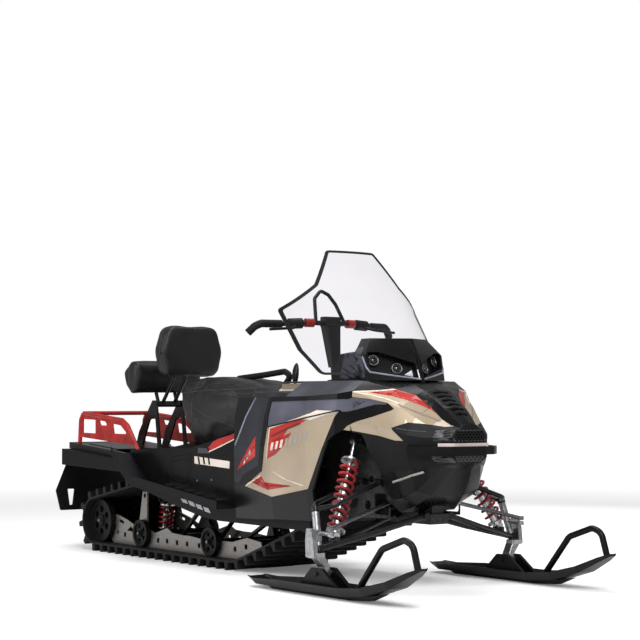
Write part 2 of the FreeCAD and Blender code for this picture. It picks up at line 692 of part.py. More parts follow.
def make_tunnel():
    wall = size("tunnel_wall")
    half = size("tunnel_half")
    outer = [(TUNNEL_REAR, TUNNEL_TOP_REAR), (STEP_X, TUNNEL_TOP_STEP), (-300.0, 474.0), (560.0, 474.0),
             (TUNNEL_FRONT, 420.0), (TUNNEL_FRONT, 215.0), (-72.0, 219.0), (-237.0, 232.0), (-496.0, 278.0),
             (-676.0, 317.0), (-883.0, 351.0), (-960.0, 408.0), (TUNNEL_REAR, 425.0)]
    inner = [(TUNNEL_REAR - 200.0, TUNNEL_TOP_REAR - wall + 14.0), (STEP_X, TUNNEL_TOP_STEP - wall),
             (-302.0, 474.0 - wall), (558.0, 474.0 - wall), (TUNNEL_FRONT - wall, 418.0),
             (TUNNEL_FRONT - wall, -20.0), (TUNNEL_REAR - 200.0, -20.0)]
    shell = slab("XZ", outer, -half, half)
    solid("tunnel", shell.cut(slab("XZ", inner, wall - half, half - wall)))


def make_boards():
    inner = size("tunnel_half")
    outer = size("board_outer")
    lip = size("board_lip")
    top = BOARD_LINE
    lower = [(x, z - 4.0) for x, z in reversed(BOARD_LINE)]
    raised = [(x, z + lip) for x, z in BOARD_LINE]
    board = slab("XZ", top + lower, inner, outer)
    edge = slab("XZ", raised + lower, outer - 5.0, outer)
    shape = joined([board, edge])
    for step in range(6):
        x = -560.0 + step * 84.0
        hole = slab("XY", [(x, inner + 24.0), (x + 52.0, inner + 24.0), (x + 52.0, outer - 24.0),
                           (x, outer - 24.0)], 250.0, 450.0, 8.0)
        shape = shape.cut(hole)
    twins("running_boards", shape)


def make_bulkhead():
    """Side plates, cross walls and the lower beam that carries the arms."""
    pivot_gap = 0.3
    plate_y = UPPER_PIVOTS[0].y - PIVOT_RADIUS - pivot_gap
    thick = 8.0
    outline = [(TUNNEL_FRONT, 300.0), (700.0, 277.0), (1020.0, 288.0), (1020.0, 320.0), (985.0, 455.0),
               (905.0, 590.0), (890.0, 620.0), (TUNNEL_FRONT, 620.0)]
    holes = [(880.0, 335.0, 20.0), (790.0, 345.0, 26.0), (700.0, 420.0, 30.0), (905.0, 440.0, 14.0)]
    body = padded_sketch("bulkhead", "XZ", [outline] + holes, plate_y - thick, "shell_wall")
    DOCUMENT.recompute()
    side = body.Shape.copy()
    window = slab("XZ", [(925.0, 300.0), (1015.0, 300.0), (1015.0, 385.0), (925.0, 385.0)], 0.0, 400.0, 12.0)
    side = side.cut(window)
    low = plate_y - thick
    beam_half = LOWER_PIVOTS[0].y - PIVOT_RADIUS - pivot_gap
    beam = slab("XZ", [(760.0, 262.0), (1105.0, 262.0), (1108.0, 303.0), (1032.0, 303.0), (1010.0, BEAM_TOP),
                       (760.0, BEAM_TOP)], -beam_half, beam_half)
    cross = slab("XZ", [(TUNNEL_FRONT, 300.0), (TUNNEL_FRONT + 6.0, 300.0), (TUNNEL_FRONT + 6.0, 620.0),
                        (TUNNEL_FRONT, 620.0)], -low, low)
    floor = slab("XZ", [(TUNNEL_FRONT, 300.0), (700.0, 277.0), (760.0, 262.0), (760.0, 268.0), (700.0, 283.0),
                        (TUNNEL_FRONT, 306.0)], -low, low)
    front = slab("XZ", [(760.0, 262.0), (766.0, 262.0), (766.0, 420.0), (760.0, 420.0)], -low, low)
    pan_mount = slab("XZ", [(1050.0, 300.0), (1094.0, 300.0), (1094.0, 336.2), (1050.0, 314.95)], -30.0, 30.0)
    shelf = slab("YZ", [(low, 560.0), (plate_y, 560.0), (SHOCK_TOP.y - 15.3, 584.0), (SHOCK_TOP.y - 15.3, 610.0),
                        (plate_y, 619.0), (low, 619.0)], SHOCK_TOP.x - 17.0, SHOCK_TOP.x + 17.0)
    side = joined([side, shelf])
    solid("bulkhead", joined([pan_mount, side, mirrored(side), beam, cross, floor, front]))


def make_engine():
    back = TUNNEL_FRONT + 6.0 + size("pad_gap")
    outline = [(back, 330.0), (750.0, 330.0), (750.0, 430.0), (840.0, 430.0), (840.0, 700.0), (810.0, 768.0),
               (back, 768.0)]
    low = UPPER_PIVOTS[0].y - PIVOT_RADIUS - 8.6
    solid("engine_block", slab("XZ", outline, -low + 30.0, low - 30.0))


# Body shell: cross sections of its left half, from the top middle down to the bottom middle.
# Each row is X, then the (Y, Z) points of the rails: middle, edge of the raised centre, hood
# edge, cheek crease, waist, bumper line, belly side, keel corner and bottom middle.

NOSE_FRONT = 1285.0
NOSE_SECTIONS = [
    (NOSE_FRONT, [(0, 668), (36, 661), (42, 650), (68, 642), (88, 614), (88, 535), (66, 516), (36, 512), (0, 512)]),
    (1245.0, [(0, 704), (50, 692), (60, 660), (100, 644), (126, 612), (124, 528), (96, 500), (50, 490), (0, 488)]),
    (1205.0, [(0, 735), (58, 724), (72, 684), (134, 654), (170, 612), (163, 520), (130, 455), (70, 440), (0, 438)]),
    (1155.0, [(0, 768), (62, 758), (84, 728), (165, 690), (215, 622), (200, 510), (165, 402), (85, 380), (0, 378)]),
    (1095.0, [(0, 803), (70, 796), (114, 778), (195, 728), (240, 640), (222, 500), (185, 372), (110, 341), (0, 337)]),
    (1035.0, [(0, 824), (72, 822), (170, 802), (228, 752), (264, 655), (232, 500), (205, 362), (140, 312), (0, 308)]),
    (928.0, [(0, 838), (74, 838), (240, 836), (302, 796), (318, 668), (255, 500), (218, 356), (150, 298), (0, 296)]),
]

# The side shell's rows stand outside the tunnel: below the hood edge each Y is measured from its side.

TUNNEL_SIDE = size("tunnel_half")
SIDE_ROWS = [
    (928.0, [(240, 836), (27, 796), (43, 668), (43, 560), (25, 396), (5, 275)]),
    (870.0, [(245, 838), (60, 785), (75, 700), (77, 560), (65, 396), (47, 268)]),
    (685.0, [(250, 838), (70, 775), (85, 690), (87, 560), (77, 396), (60, 266)]),
    (430.0, [(250, 838), (70, 772), (85, 690), (87, 560), (77, 390), (60, 258)]),
    (300.0, [(235, 836), (50, 770), (67, 690), (71, 560), (65, 390), (50, 250)]),
    (110.0, [(225, 836), (25, 770), (43, 690), (49, 560), (47, 390), (35, 245)]),
]
SIDE_SECTIONS = [
    (x, [(0, 838), (74, 838), row[0]] + [(TUNNEL_SIDE + y, z) for y, z in row[1:]] + [(0, row[-1][1])])
    for x, row in SIDE_ROWS
]


def inset_section(points, distance):
    """The section moved inwards by a wall thickness, with mitred corners."""
    normals = []
    for (y0, z0), (y1, z1) in zip(points, points[1:]):
        length = math.hypot(y1 - y0, z1 - z0)
        normals.append(((z1 - z0) / length, -(y1 - y0) / length))
    moved = []
    for index, (y, z) in enumerate(points):
        if index == 0:
            moved.append((y, z - distance))
            continue
        if index == len(points) - 1:
            moved.append((y, z + distance))
            continue
        a = normals[index - 1]
        b = normals[index]
        share = distance / (1 + a[0] * b[0] + a[1] * b[1])
        moved.append((y + (a[0] + b[0]) * share, z + (a[1] + b[1]) * share))
    return moved


def strip(sections, first, last, outside=0.0, inside=None, ruled=True):
    """Panel between two rails of the shell, outside and inside being depths below the skin."""
    inside = size("shell_wall") if inside is None else inside
    wires = []
    for x, points in sections:
        outer = inset_section(points, outside)[first:last + 1] if outside else points[first:last + 1]
        inner = inset_section(points, inside)[first:last + 1]
        ring = list(outer) + list(reversed(inner))
        wires.append(Part.makePolygon([Vector(x, y, z) for y, z in ring + ring[:1]]))
    return loft(wires, ruled)


MIDDLE, RIDGE, HOOD, CREASE, WAIST, BUMPER, BELLY, KEEL, BOTTOM_RAIL = range(9)
FAR = 600.0

ARCH_OUT = [(1077, 724), (1042, 741), (1009, 741), (967, 727), (926, 714)]
ARCH_IN = [(926, 660), (956, 674), (1009, 692), (1066, 716)]
ARM_LOW = [(928, 772), (989, 763), (1049, 747), (1077, 724)]
CHEEK_TOP = [(926, 795), (1000, 800), (1035, 806), (1095, 800), (1155, 750), (1205, 706), (1245, 682), (1286, 672)]
CHEEK = CHEEK_TOP + [(1286, 655), (1268, 657), (1237, 654), (1188, 665), (1140, 671), (1091, 649), (1141, 599),
                     (1107, 600), (1042, 617), (969, 630), (926, 637)] + ARCH_IN + ARM_LOW[::-1] + [(926, 772)]
CHEEK_TAIL = [(928, 637), (905, 640), (919, 655.7), (928, 660.5)]
CHEEK_OVER = [(926, 860), (1040, 860), (1040, 806)] + CHEEK_TOP[2::-1]
ARCH_FRONT = ARCH_OUT + ARCH_IN
GREY_FRONT = ARM_LOW[:3] + ARCH_OUT[1:]
BAY_FRONT = [(920, 631), (962, 625), (972, 600), (975, 568), (983, 533), (1001, 509), (1017, 466), (1018, 430),
             (1037, 280), (1037, 200), (920, 200)]
BAY_ARCH = [(930, 662), (919, 656), (904, 640), (870, 622), (833, 598), (806, 549), (722, 396), (722, 200),
            (940, 200), (940, 662)]
GOLD = [(408, 641), (885, 715), (693, 396), (424, 351), (198, 388), (355, 458)]
GREY = [(430, 752), (915, 764), (928, 770), (928, 714), (895, 712), (885, 720), (412, 647)]
COLUMN = [(330, 790), (285, 790), (112, 560), (112, 405), (150, 395), (200, 440), (330, 480), (372, 640), (405, 768)]


def nose_part(outline, outside=0.0):
    """What an outline seen from the side cuts out of the nose's flank."""
    return strip(NOSE_SECTIONS, HOOD, KEEL, outside).common(slab("XZ", outline, 20.0, FAR))


def make_nose():
    """Hood, cheeks and belly pan. What is left of the flank goes to the fascia."""
    flank = strip(NOSE_SECTIONS, HOOD, KEEL)
    hood = strip(NOSE_SECTIONS, MIDDLE, HOOD).fuse(nose_part(CHEEK_OVER))
    for slot in range(6):
        x = 1117.0 + slot * 25.2
        half = 40.0 - slot * 2.2
        hood = hood.cut(slab("XY", [(x - 6.5, -1.0), (x + 6.5, -1.0), (x + 5.0, half), (x - 8.0, half)], 600.0, 900.0))
    solid("hood", joined([hood, mirrored(hood)]))
    tail = strip(SIDE_SECTIONS[:2], HOOD, KEEL).common(slab("XZ", CHEEK_TAIL, 20.0, FAR))
    cheek = joined([biggest(nose_part(CHEEK)), tail])
    twins("cheeks", cheek)
    rest = flank
    for outline in (CHEEK, CHEEK_OVER, ARCH_FRONT, GREY_FRONT, BAY_FRONT):
        rest = rest.cut(slab("XZ", outline, 20.0, FAR))
    belly = strip(NOSE_SECTIONS, KEEL, BOTTOM_RAIL).cut(slab("XZ", BAY_FRONT, -1.0, FAR))
    split = [(900.0, 100.0), (1300.0, 100.0), (1300.0, 512.0), (1050.0, 470.0), (900.0, 470.0)]
    lower_tool = slab("XZ", split, 0.0, FAR)
    pan = joined([rest.common(lower_tool), belly])
    solid("belly_pan", joined([pan, mirrored(pan)]))
    return biggest(rest.cut(lower_tool))


def make_fascia(side):
    """Nose wall under the cheeks: front plate with its mesh, and the lamp strip round it."""
    wall = size("shell_wall")
    front = NOSE_FRONT + wall
    half = NOSE_SECTIONS[0][1]
    outline = half + [(-y, z) for y, z in reversed(half) if y > 0]
    plate = slab("YZ", outline, NOSE_FRONT, front)
    cells = []
    for row in range(4):
        z = 602.0 + row * 10.5
        for column in range(-4, 5):
            y = column * 17.0 + (8.5 if row % 2 else 0.0)
            if abs(y) < 72.0:
                cells.append(slab("YZ", [(y - 6.0, z), (y, z - 4.2), (y + 6.0, z), (y, z + 4.2)], 1270.0, 1300.0))
    solid("fascia", joined([side, mirrored(side), plate.cut(cells)]))
    outer = [(1249.0, 131.5), (1293.0, 96.0), (front + 8.0, 89.0)]
    inner = [(front, 88.0), (NOSE_FRONT + 0.4, 88.9), (1245.4, 126.5)]
    ring = outer + [(x, -y) for x, y in reversed(outer)] + [(x, -y) for x, y in reversed(inner)] + inner
    solid("lamp_strip", slab("XY", ring, 578.0, 590.0))


def make_bumper():
    """Bar round the nose's front, on two mounts."""
    outer = [(1165.0, 222.0), (1262.0, 168.0), (1308.0, 112.0), (1318.0, 60.0)]
    inner = [(1306.0, 60.0), (1297.0, 106.0), (1254.0, 158.0), (1160.0, 211.0)]
    ring = outer + [(x, -y) for x, y in reversed(outer)] + [(x, -y) for x, y in reversed(inner)] + inner
    bar = slab("XY", ring, 545.0, 577.0)
    mounts = []
    for y in (-45.0, 45.0):
        mounts.append(slab("XY", [(NOSE_FRONT + 6.0, y - 14.0), (1308.0, y - 14.0), (1308.0, y + 14.0),
                                  (NOSE_FRONT + 6.0, y + 14.0)], 548.0, 574.0))
    solid("bumper", joined([bar] + mounts))


def make_side_panels():
    step = size("panel_step")
    wall = size("shell_wall")
    skin = strip(SIDE_SECTIONS, CREASE, KEEL, 0.0, wall + step)
    recessed = strip(SIDE_SECTIONS, CREASE, KEEL, step, wall + step)
    gold_tool = slab("XZ", GOLD, 20.0, FAR)
    grey_tool = slab("XZ", GREY, 20.0, FAR)
    column_tool = slab("XZ", COLUMN, 20.0, FAR)
    bay_tool = slab("XZ", BAY_ARCH, 20.0, FAR)
    twins("side_panels", recessed.common(gold_tool))
    twins("upper_panels", joined([recessed.common(grey_tool), nose_part(GREY_FRONT, step)]))
    frame = skin.cut(gold_tool).cut(grey_tool).cut(column_tool).cut(bay_tool)
    twins("side_frames", joined([biggest(frame), nose_part(ARCH_FRONT)]))
    twins("footwell_columns", biggest(skin.common(column_tool)))


DECK_REAR = 345.0
SLOPE_REAR = 530.0
SHELF_TOP = 796.7


def make_console():
    """Deck from the hood back to the tank, its sloped sides, the shelf below and the post's opening."""
    front = SIDE_SECTIONS[0][0]
    deck = strip(SIDE_SECTIONS, MIDDLE, HOOD).common(slab("XZ", [(DECK_REAR, 700.0), (front, 700.0), (front, 900.0),
                                                                (DECK_REAR, 900.0)], -1.0, FAR))
    slope = strip(SIDE_SECTIONS, HOOD, CREASE).common(slab("XZ", [(SLOPE_REAR, 700.0), (front, 700.0), (front, 900.0),
                                                                  (SLOPE_REAR, 900.0)], -1.0, FAR))
    shelf = slab("XY", [(235.3, -1.0), (235.3, 296.0), (430.0, 316.0), (545.0, 312.0), (545.0, -1.0)],
                 SHELF_TOP - 8.0, SHELF_TOP)
    half = joined([deck, slope, shelf])
    at = POST_LOW + POST_AXIS * 76.0
    collar = disc(at, POST_AXIS, size("post_radius") + 18.0, 22.0)
    bore = disc(at, POST_AXIS, size("post_radius") + size("post_clearance"), 200.0)
    solid("console", joined([half, mirrored(half), collar]).cut(bore))


# Handlebar, turning on the raked post

POST_LOW = Vector(421.0, 0.0, 760.0)
POST_HIGH = Vector(382.0, 0.0, 1100.0)
POST_AXIS = (POST_HIGH - POST_LOW).normalize()


def make_handlebar():
    left = [(382.0, 0.0, 1092.0), (382.0, 85.0, 1094.0), (358.0, 245.0, 1086.0), (338.0, 338.0, 1086.0)]
    right = [(x, -y, z) for x, y, z in reversed(left[1:])]
    bar = rod(right + left, size("bar_radius"), 60.0)
    riser = loft([
        drawn("XY", [(392.0, -22.0), (432.0, -22.0), (432.0, 22.0), (392.0, 22.0)], 8.0, 900.0),
        drawn("XY", [(360.0, -40.0), (408.0, -40.0), (408.0, 40.0), (360.0, 40.0)], 8.0, 1078.0),
    ])
    clamp = slab("XZ", [(360.0, 1076.0), (408.0, 1076.0), (404.0, 1122.0), (362.0, 1122.0)], -40.0, 40.0, 8.0)
    post = rod([POST_LOW, POST_LOW + POST_AXIS * 160.0], size("post_radius"))
    strap = rod([(383.0, -79.0, 1094.0), (372.0, -79.0, 1200.0), (366.0, -42.0, 1236.0), (367.0, 0.0, 1219.0),
                 (371.0, 37.0, 1177.0), (377.0, 63.0, 1126.0), (382.0, 79.0, 1094.0)], 8.0, 18.0)
    whole = joined([bar, riser, clamp, post, strap])
    solid("handlebar", whole)
    grips = []
    for side in (-1, 1):
        start = Vector(358.0, side * 245.0, 1086.0)
        end = Vector(338.0, side * 338.0, 1086.0)
        grips.append(rod([start, end, (326.0, side * 362.0, 1074.0), (310.0, side * 388.0, 1045.0)],
                         size("grip_radius"), 24.0).cut(whole))
    several("grips", grips)
    blocks = []
    for side in (-1, 1):
        centre = Vector(368.0, side * 180.0, 1089.0)
        axis = Vector(-24.0, side * 160.0, -8.0).normalize()
        block = disc(centre, axis, 23.0, 62.0)
        lever = rod([centre + Vector(12.0, side * 10.0, -10.0), centre + Vector(52.0, side * 40.0, -22.0),
                     centre + Vector(38.0, side * 160.0, -30.0)], 6.0, 26.0)
        blocks.append(block.fuse(lever).cut(whole))
    several("switch_blocks", blocks)
    clamps = []
    for side in (-1, 1):
        clamps.append(disc((378.0, side * 112.0, 1093.0), (-0.15, side, 0), 19.0, 40.0).cut(whole))
    several("bar_clamps", clamps)


SCREEN_FOOT = 858.0
SCREEN_LEAN = -0.683


def windshield_solid(depth, thick):
    """Sheet bent across and leaned back: behind the surface by depth, thick millimetres."""
    foot = SCREEN_FOOT
    rise = 545.0
    lean = SCREEN_LEAN * rise
    half = 400.0

    def front(y, back):
        return Vector(909.0 - 0.0016 * y * y - back, y, foot)

    def arc(back):
        return Part.Arc(front(-half, back), front(0.0, back), front(half, back)).toShape()

    outer = arc(depth)
    inner = arc(depth + thick)
    left = Part.LineSegment(front(half, depth), front(half, depth + thick)).toShape()
    right = Part.LineSegment(front(-half, depth + thick), front(-half, depth)).toShape()
    face = Part.Face(Part.Wire(Part.__sortEdges__([outer, left, inner, right])))
    return face.extrude(Vector(lean, 0, rise))


SHIELD = [(0.0, 861.0), (330.0, 861.0), (363.0, 964.0), (373.0, 1138.0), (230.0, 1245.0), (126.0, 1398.0)]


def full_outline(half):
    """Both halves of an outline given from the middle bottom to the top on the left."""
    return [(y, z) for y, z in half if y > 0] + [(-y, z) for y, z in reversed(half) if y > 0]


def make_windshield():
    band = size("trim_width")
    wall = size("windshield_wall")
    outline = full_outline(SHIELD)
    outer = slab("YZ", outline, 0.0, 1200.0, 22.0)
    inner_wire = drawn("YZ", outline, 22.0).makeOffset2D(-band)
    inner = Part.Face(inner_wire).extrude(Vector(1200.0, 0, 0))
    sheet = windshield_solid(1.5, wall)
    rim = windshield_solid(0.0, wall + 3.0)
    solid("windshield", sheet.common(inner))
    solid("windshield_trim", rim.common(outer.cut(inner)))


LAMP_RADIUS = 24.0
POD_LEVELS = [
    (838.3, 1009.0, 905.0, 205.0, 640.0, 190.0),
    (945.0, 967.0, 885.0, 205.0, 640.0, 185.0),
    (1012.0, 931.0, 850.0, 150.0, 690.0, 130.0),
]
POD_REAR = [(640.0, 838.3), (900.0, 838.3), (840.0, 960.0), (700.0, 950.0), (640.0, 880.0)]
MOUTH = [(14.0, 848.0), (190.0, 890.0), (194.0, 952.0), (150.0, 954.0), (14.0, 908.0)]
MOUTH_DEPTH = 34.0
LAMPS = [(924.0, 72.0, 885.0), (877.0, 158.0, 918.0)]


def make_pod():
    """Lamp housing: a V-shaped nose ahead of the windshield with its two mouths, and the box behind it."""
    wires = []
    for z, nose, side, half, tail, tail_half in POD_LEVELS:
        ring = [(nose, 0.0), (side, half), (tail, tail_half), (tail, -tail_half), (side, -half)]
        wires.append(Part.makePolygon([Vector(x, y, z) for x, y in ring + ring[:1]]))
    body = loft(wires)
    drop = 30.0
    slot = windshield_solid(-0.4, size("windshield_wall") + 3.8).translated(Vector(-SCREEN_LEAN * drop, 0, -drop))
    parts = body.cut(slot).Solids
    nose = max(parts, key=lambda item: item.CenterOfMass.x)
    rear = min(parts, key=lambda item: item.CenterOfMass.x).common(slab("XZ", POD_REAR, -FAR, FAR))
    ridge = slab("XZ", [(985.0, 838.5), (1011.0, 828.3), (984.0, 921.0), (945.0, 984.0), (931.0, 1011.5),
                        (915.0, 1005.0), (950.0, 905.0)], -9.0, 9.0)
    kept = body.translated(Vector(-MOUTH_DEPTH, 0, 0))
    recesses = []
    lenses = []
    for side in (-1, 1):
        recesses.append(slab("YZ", [(side * y, z) for y, z in MOUTH], 800.0, 1050.0).cut(kept))
        for x, y, z in LAMPS:
            at = Vector(x, side * y, z)
            axis = Vector(1.0, side * 0.42, 0.36).normalize()
            recesses.append(disc(at + axis * 12.0, axis, LAMP_RADIUS, 40.0))
            lenses.append(disc(at - axis * 0.4, axis, LAMP_RADIUS - size("pad_gap"), 15.0))
    nose = joined([nose, ridge])
    for recess in recesses:
        nose = nose.cut(recess)
    several("headlamp_pod", [biggest(nose), rear])
    several("headlamps", lenses)


# Seat, backrests, tank cover and grab handle


def seat_section(x, low, high, half, crown):
    ring = [(-half * 0.82, low), (half * 0.82, low), (half, low + (high - low) * 0.45),
            (half * 0.92, high - crown), (half * 0.55, high), (-half * 0.55, high),
            (-half * 0.92, high - crown), (-half, low + (high - low) * 0.45)]
    return Part.makePolygon([Vector(x, y, z) for y, z in ring + ring[:1]])


def make_seat():
    rows = [(-655, 790, 832, 125, 18), (-580, 660, 848, 170, 40), (-470, 545, 856, 192, 55),
            (-330, 537, 858, 200, 62), (-150, 596, 838, 190, 56), (0, 655, 816, 172, 46),
            (130, 700, 800, 150, 34), (235, 740, 806, 120, 22)]
    solid("seat", loft([seat_section(*row) for row in rows]))


def make_seat_base():
    """Black base under the seat and the covers beside the tunnel."""
    half = size("tunnel_half")
    base = [(-860.0, 458.0), (STEP_X, 431.3), (-300.0, 474.3), (235.0, 474.3), (235.0, 739.5), (130.0, 699.5),
            (0.0, 654.5), (-150.0, 595.5), (-330.0, 536.5), (-470.0, 544.5), (-500.0, 560.0), (-860.0, 505.0)]
    solid("seat_base", slab("XZ", base, -150.0, 150.0))
    foot = [(x, z + size("pad_gap")) for x, z in BOARD_LINE]
    cover = [(-835.0, 520.0), (-640.0, 530.0), (-300.0, 540.0), (60.0, 610.0), (104.0, 632.0), (104.0, 288.0)] + foot
    twins("tunnel_covers", slab("XZ", cover, half, half + 14.0))


def make_tank():
    """Tank cover behind the deck, its wings reaching forward under the deck's edges."""
    gap = size("pad_gap")
    low = SHELF_TOP + gap
    wires = []
    for x, half, high in [(235.3, 172.0, 812.0), (DECK_REAR - gap, 205.0, 830.0)]:
        ring = [(-half, low), (half, low), (half * 0.93, high), (-half * 0.93, high)]
        wires.append(Part.makePolygon([Vector(x, y, z) for y, z in ring + ring[:1]]))
    wing = slab("XY", [(300.0, 170.0), (SLOPE_REAR - gap, 180.0), (SLOPE_REAR - gap, 240.0), (344.0, 232.0),
                       (300.0, 192.0)], low, 829.0)
    solid("tank_cover", joined([loft(wires), wing, mirrored(wing)]))


def make_grab_handle():
    handle = rod([(-330.0, 0.0, 860.0), (-120.0, 0.0, 874.0), (40.0, 0.0, 888.0), (88.0, 0.0, 868.0),
                  (30.0, 0.0, 815.0)], 14.0, 26.0)
    solid("grab_handle", handle.cut(NODES["seat"].Shape))


HINGE = Vector(-964.0, 0.0, 739.0)


def pad_shape(centre_x, low, high, half_low, half_high, thick):
    """Rounded pad standing across the machine."""
    middle = (low + high) / 2
    outline = [(-half_low, low), (half_low, low), (half_low * 1.18, middle), (half_high, high),
               (-half_high, high), (-half_low * 1.18, middle)]
    return slab("YZ", outline, centre_x - thick / 2, centre_x + thick / 2, 55.0)


def make_backrests():
    front = pad_shape(-775.0, 872.0, 1122.0, 152.0, 142.0, 84.0)
    solid("front_backrest_pad", front)
    arm = []
    for side in (-1, 1):
        arm.append(rod([(HINGE.x, side * 34.0, HINGE.z), (-860.0, side * 34.0, 860.0),
                        (-830.0, side * 34.0, 935.0)], 9.0, 30.0))
    plate = slab("YZ", [(-70.0, 880.0), (70.0, 880.0), (60.0, 1040.0), (-60.0, 1040.0)], -825.3, -817.3, 12.0)
    tube = disc(HINGE, (0, 1, 0), 15.0, 84.0).cut(disc(HINGE, (0, 1, 0), 8.1, 200.0))
    solid("front_backrest_frame", joined(arm + [plate, tube]).cut(disc(HINGE, (0, 1, 0), 8.1, 200.0)))

    lean = [(HINGE.x - 32.0, 775.0), (HINGE.x + 12.0, 860.0), (-945.0, 948.0), (-1010.0, 952.0), (-1085.0, 900.0),
            (-1060.0, 830.0)]
    rear = slab("XZ", lean, -190.0, 190.0, 24.0)
    solid("rear_backrest_pad", rear)
    around = Part.Face(drawn("XZ", lean, 24.0, -190.0).makeOffset2D(size("pad_gap"))).extrude(Vector(0, 380.0, 0))
    bracket = []
    for side in (-1, 1):
        y = side * 54.0
        bracket.append(rod([(HINGE.x, y, HINGE.z), (HINGE.x - 40.0, y, 828.0)], 9.0))
        eye = disc((HINGE.x, y, HINGE.z), (0, 1, 0), 15.0, 20.0)
        bracket.append(eye)
    shape = joined([bracket[0], bracket[1]])
    other = joined([bracket[2], bracket[3]])
    hole = disc(HINGE, (0, 1, 0), 8.1, 200.0)
    several("rear_backrest_frame", [shape.cut(hole).cut(around), other.cut(hole).cut(around)])

    stand = []
    for side in (-1, 1):
        y = side * 76.0
        outline = [(HINGE.x - 18.0, HINGE.z + 18.0), (HINGE.x + 18.0, HINGE.z + 18.0), (-905.0, 530.0),
                   (-880.0, 500.0), (-880.0, tunnel_z(-880.0) + 0.3), (-1150.0, tunnel_z(-1150.0) + 0.3),
                   (-1150.0, 500.0), (-1110.0, 600.0)]
        stand.append(slab("XZ", outline, y - 5.0, y + 5.0, 10.0))
        window = slab("XZ", [(-1085.0, 520.0), (-930.0, 520.0), (-955.0, 680.0), (-1010.0, 660.0)], y - 20.0,
                      y + 20.0, 12.0)
        stand[-1] = stand[-1].cut(window)
    stand.append(disc(HINGE, (0, 1, 0), 8.0, 162.0))
    solid("backrest_stand", joined(stand))


# Rack, flap and hitch at the rear


def rack_z(x):
    """Top of the rack's rails, falling towards the front with the tunnel."""
    return 541.0 + (x - size("rear_end")) * -0.0745


def tunnel_z(x):
    slope = (TUNNEL_TOP_STEP - TUNNEL_TOP_REAR) / (STEP_X - TUNNEL_REAR)
    return TUNNEL_TOP_REAR + slope * (x - TUNNEL_REAR)


def tunnel_under(x):
    """Underside of the tunnel's top sheet."""
    start = TUNNEL_REAR - 200.0
    high = TUNNEL_TOP_REAR - size("tunnel_wall") + 14.0
    return high + (TUNNEL_TOP_STEP - size("tunnel_wall") - high) * (x - start) / (STEP_X - start)


PANEL_REAR = -1462.0
PANEL_FRONT = -1168.0
PANEL_RISE = 3.0
RACK_WINDOWS = [
    [(-1484.0, 590.0), (-1484.0, 660.0), (-1354.0, 657.0), (-1353.0, 588.0)],
    [(-1318.0, 655.0), (-1255.0, 650.0), (-1230.0, 630.0), (-1300.0, 630.0)],
    [(-1179.0, 640.0), (-1100.0, 632.0), (-1032.0, 590.0), (-1165.0, 590.0)],
]


def make_rack():
    half = size("rack_half")
    rear = size("rear_end") + 10.0
    front = -900.0
    rails = []
    for side in (-1, 1):
        y = side * half
        outline = [(rear, tunnel_z(rear) + 0.3), (front, tunnel_z(front) + 0.3), (front, rack_z(front)),
                   (rear, rack_z(rear))]
        rails.append(slab("XZ", outline, y - 9.0, y + 9.0))
    deck_rear = rear + 40.0
    deck_front = front - 260.0
    deck = [(deck_rear, rack_z(deck_rear) - 5.0), (deck_front, rack_z(deck_front) - 5.0),
            (deck_front, rack_z(deck_front)), (deck_rear, rack_z(deck_rear))]
    rails.append(slab("XZ", deck, -half + 9.0, half - 9.0))
    bar = slab("XZ", [(rear, tunnel_z(rear) + 0.3), (rear + 18.0, tunnel_z(rear + 18.0) + 0.3),
                      (rear + 18.0, rack_z(rear + 18.0)), (rear, rack_z(rear))], -half + 9.0, half - 9.0)
    rails.append(bar)
    panel = [(PANEL_REAR, rack_z(PANEL_REAR) - 3.0), (PANEL_FRONT, rack_z(PANEL_FRONT) - 3.0),
             (PANEL_FRONT, rack_z(PANEL_FRONT) + PANEL_RISE), (PANEL_REAR, rack_z(PANEL_REAR) + PANEL_RISE)]
    rails.append(slab("XZ", panel, -half + 45.0, half - 45.0))
    solid("cargo_rack", joined(rails))

    tube = size("rack_tube")
    gap = size("pad_gap")
    hoops = []
    for side in (-1, 1):
        y = side * (half - 24.0)
        rear_foot = (-1521.0, y, rack_z(-1521.0) + gap)
        front_foot = (-915.0, y, rack_z(-915.0) + 4.0)
        sole = [(-945.0, rack_z(-945.0) + gap), (-903.0, rack_z(-903.0) + gap), (-903.0, rack_z(-903.0) + 7.0),
                (-945.0, rack_z(-945.0) + 7.0)]
        hoops.append(slab("XZ", sole, *sorted((side * (half - 34.0), side * (half + 5.0)))))
        hoops.append(rod([rear_foot, (-1512.0, y, 655.0), (-1485.0, y, 690.0), (-1085.0, y, 658.0),
                          (-1032.0, y, 631.0), front_foot], tube, 26.0))
        plate = slab("XZ", [(-1512.0, 568.0), (-1508.0, 650.0), (-1484.0, 682.0), (-1092.0, 652.0),
                            (-1036.0, 622.0), (-958.0, 534.0)], y - 3.0, y + 3.0)
        for window in RACK_WINDOWS:
            plate = plate.cut(slab("XZ", window, y - 9.0, y + 9.0, 5.0))
        hoops.append(plate)
    cross = rod([(-1485.0, -half + 24.0, 690.0), (-1485.0, half - 24.0, 690.0)], tube)
    hoops.append(cross)
    solid("rack_hoops", joined(hoops))


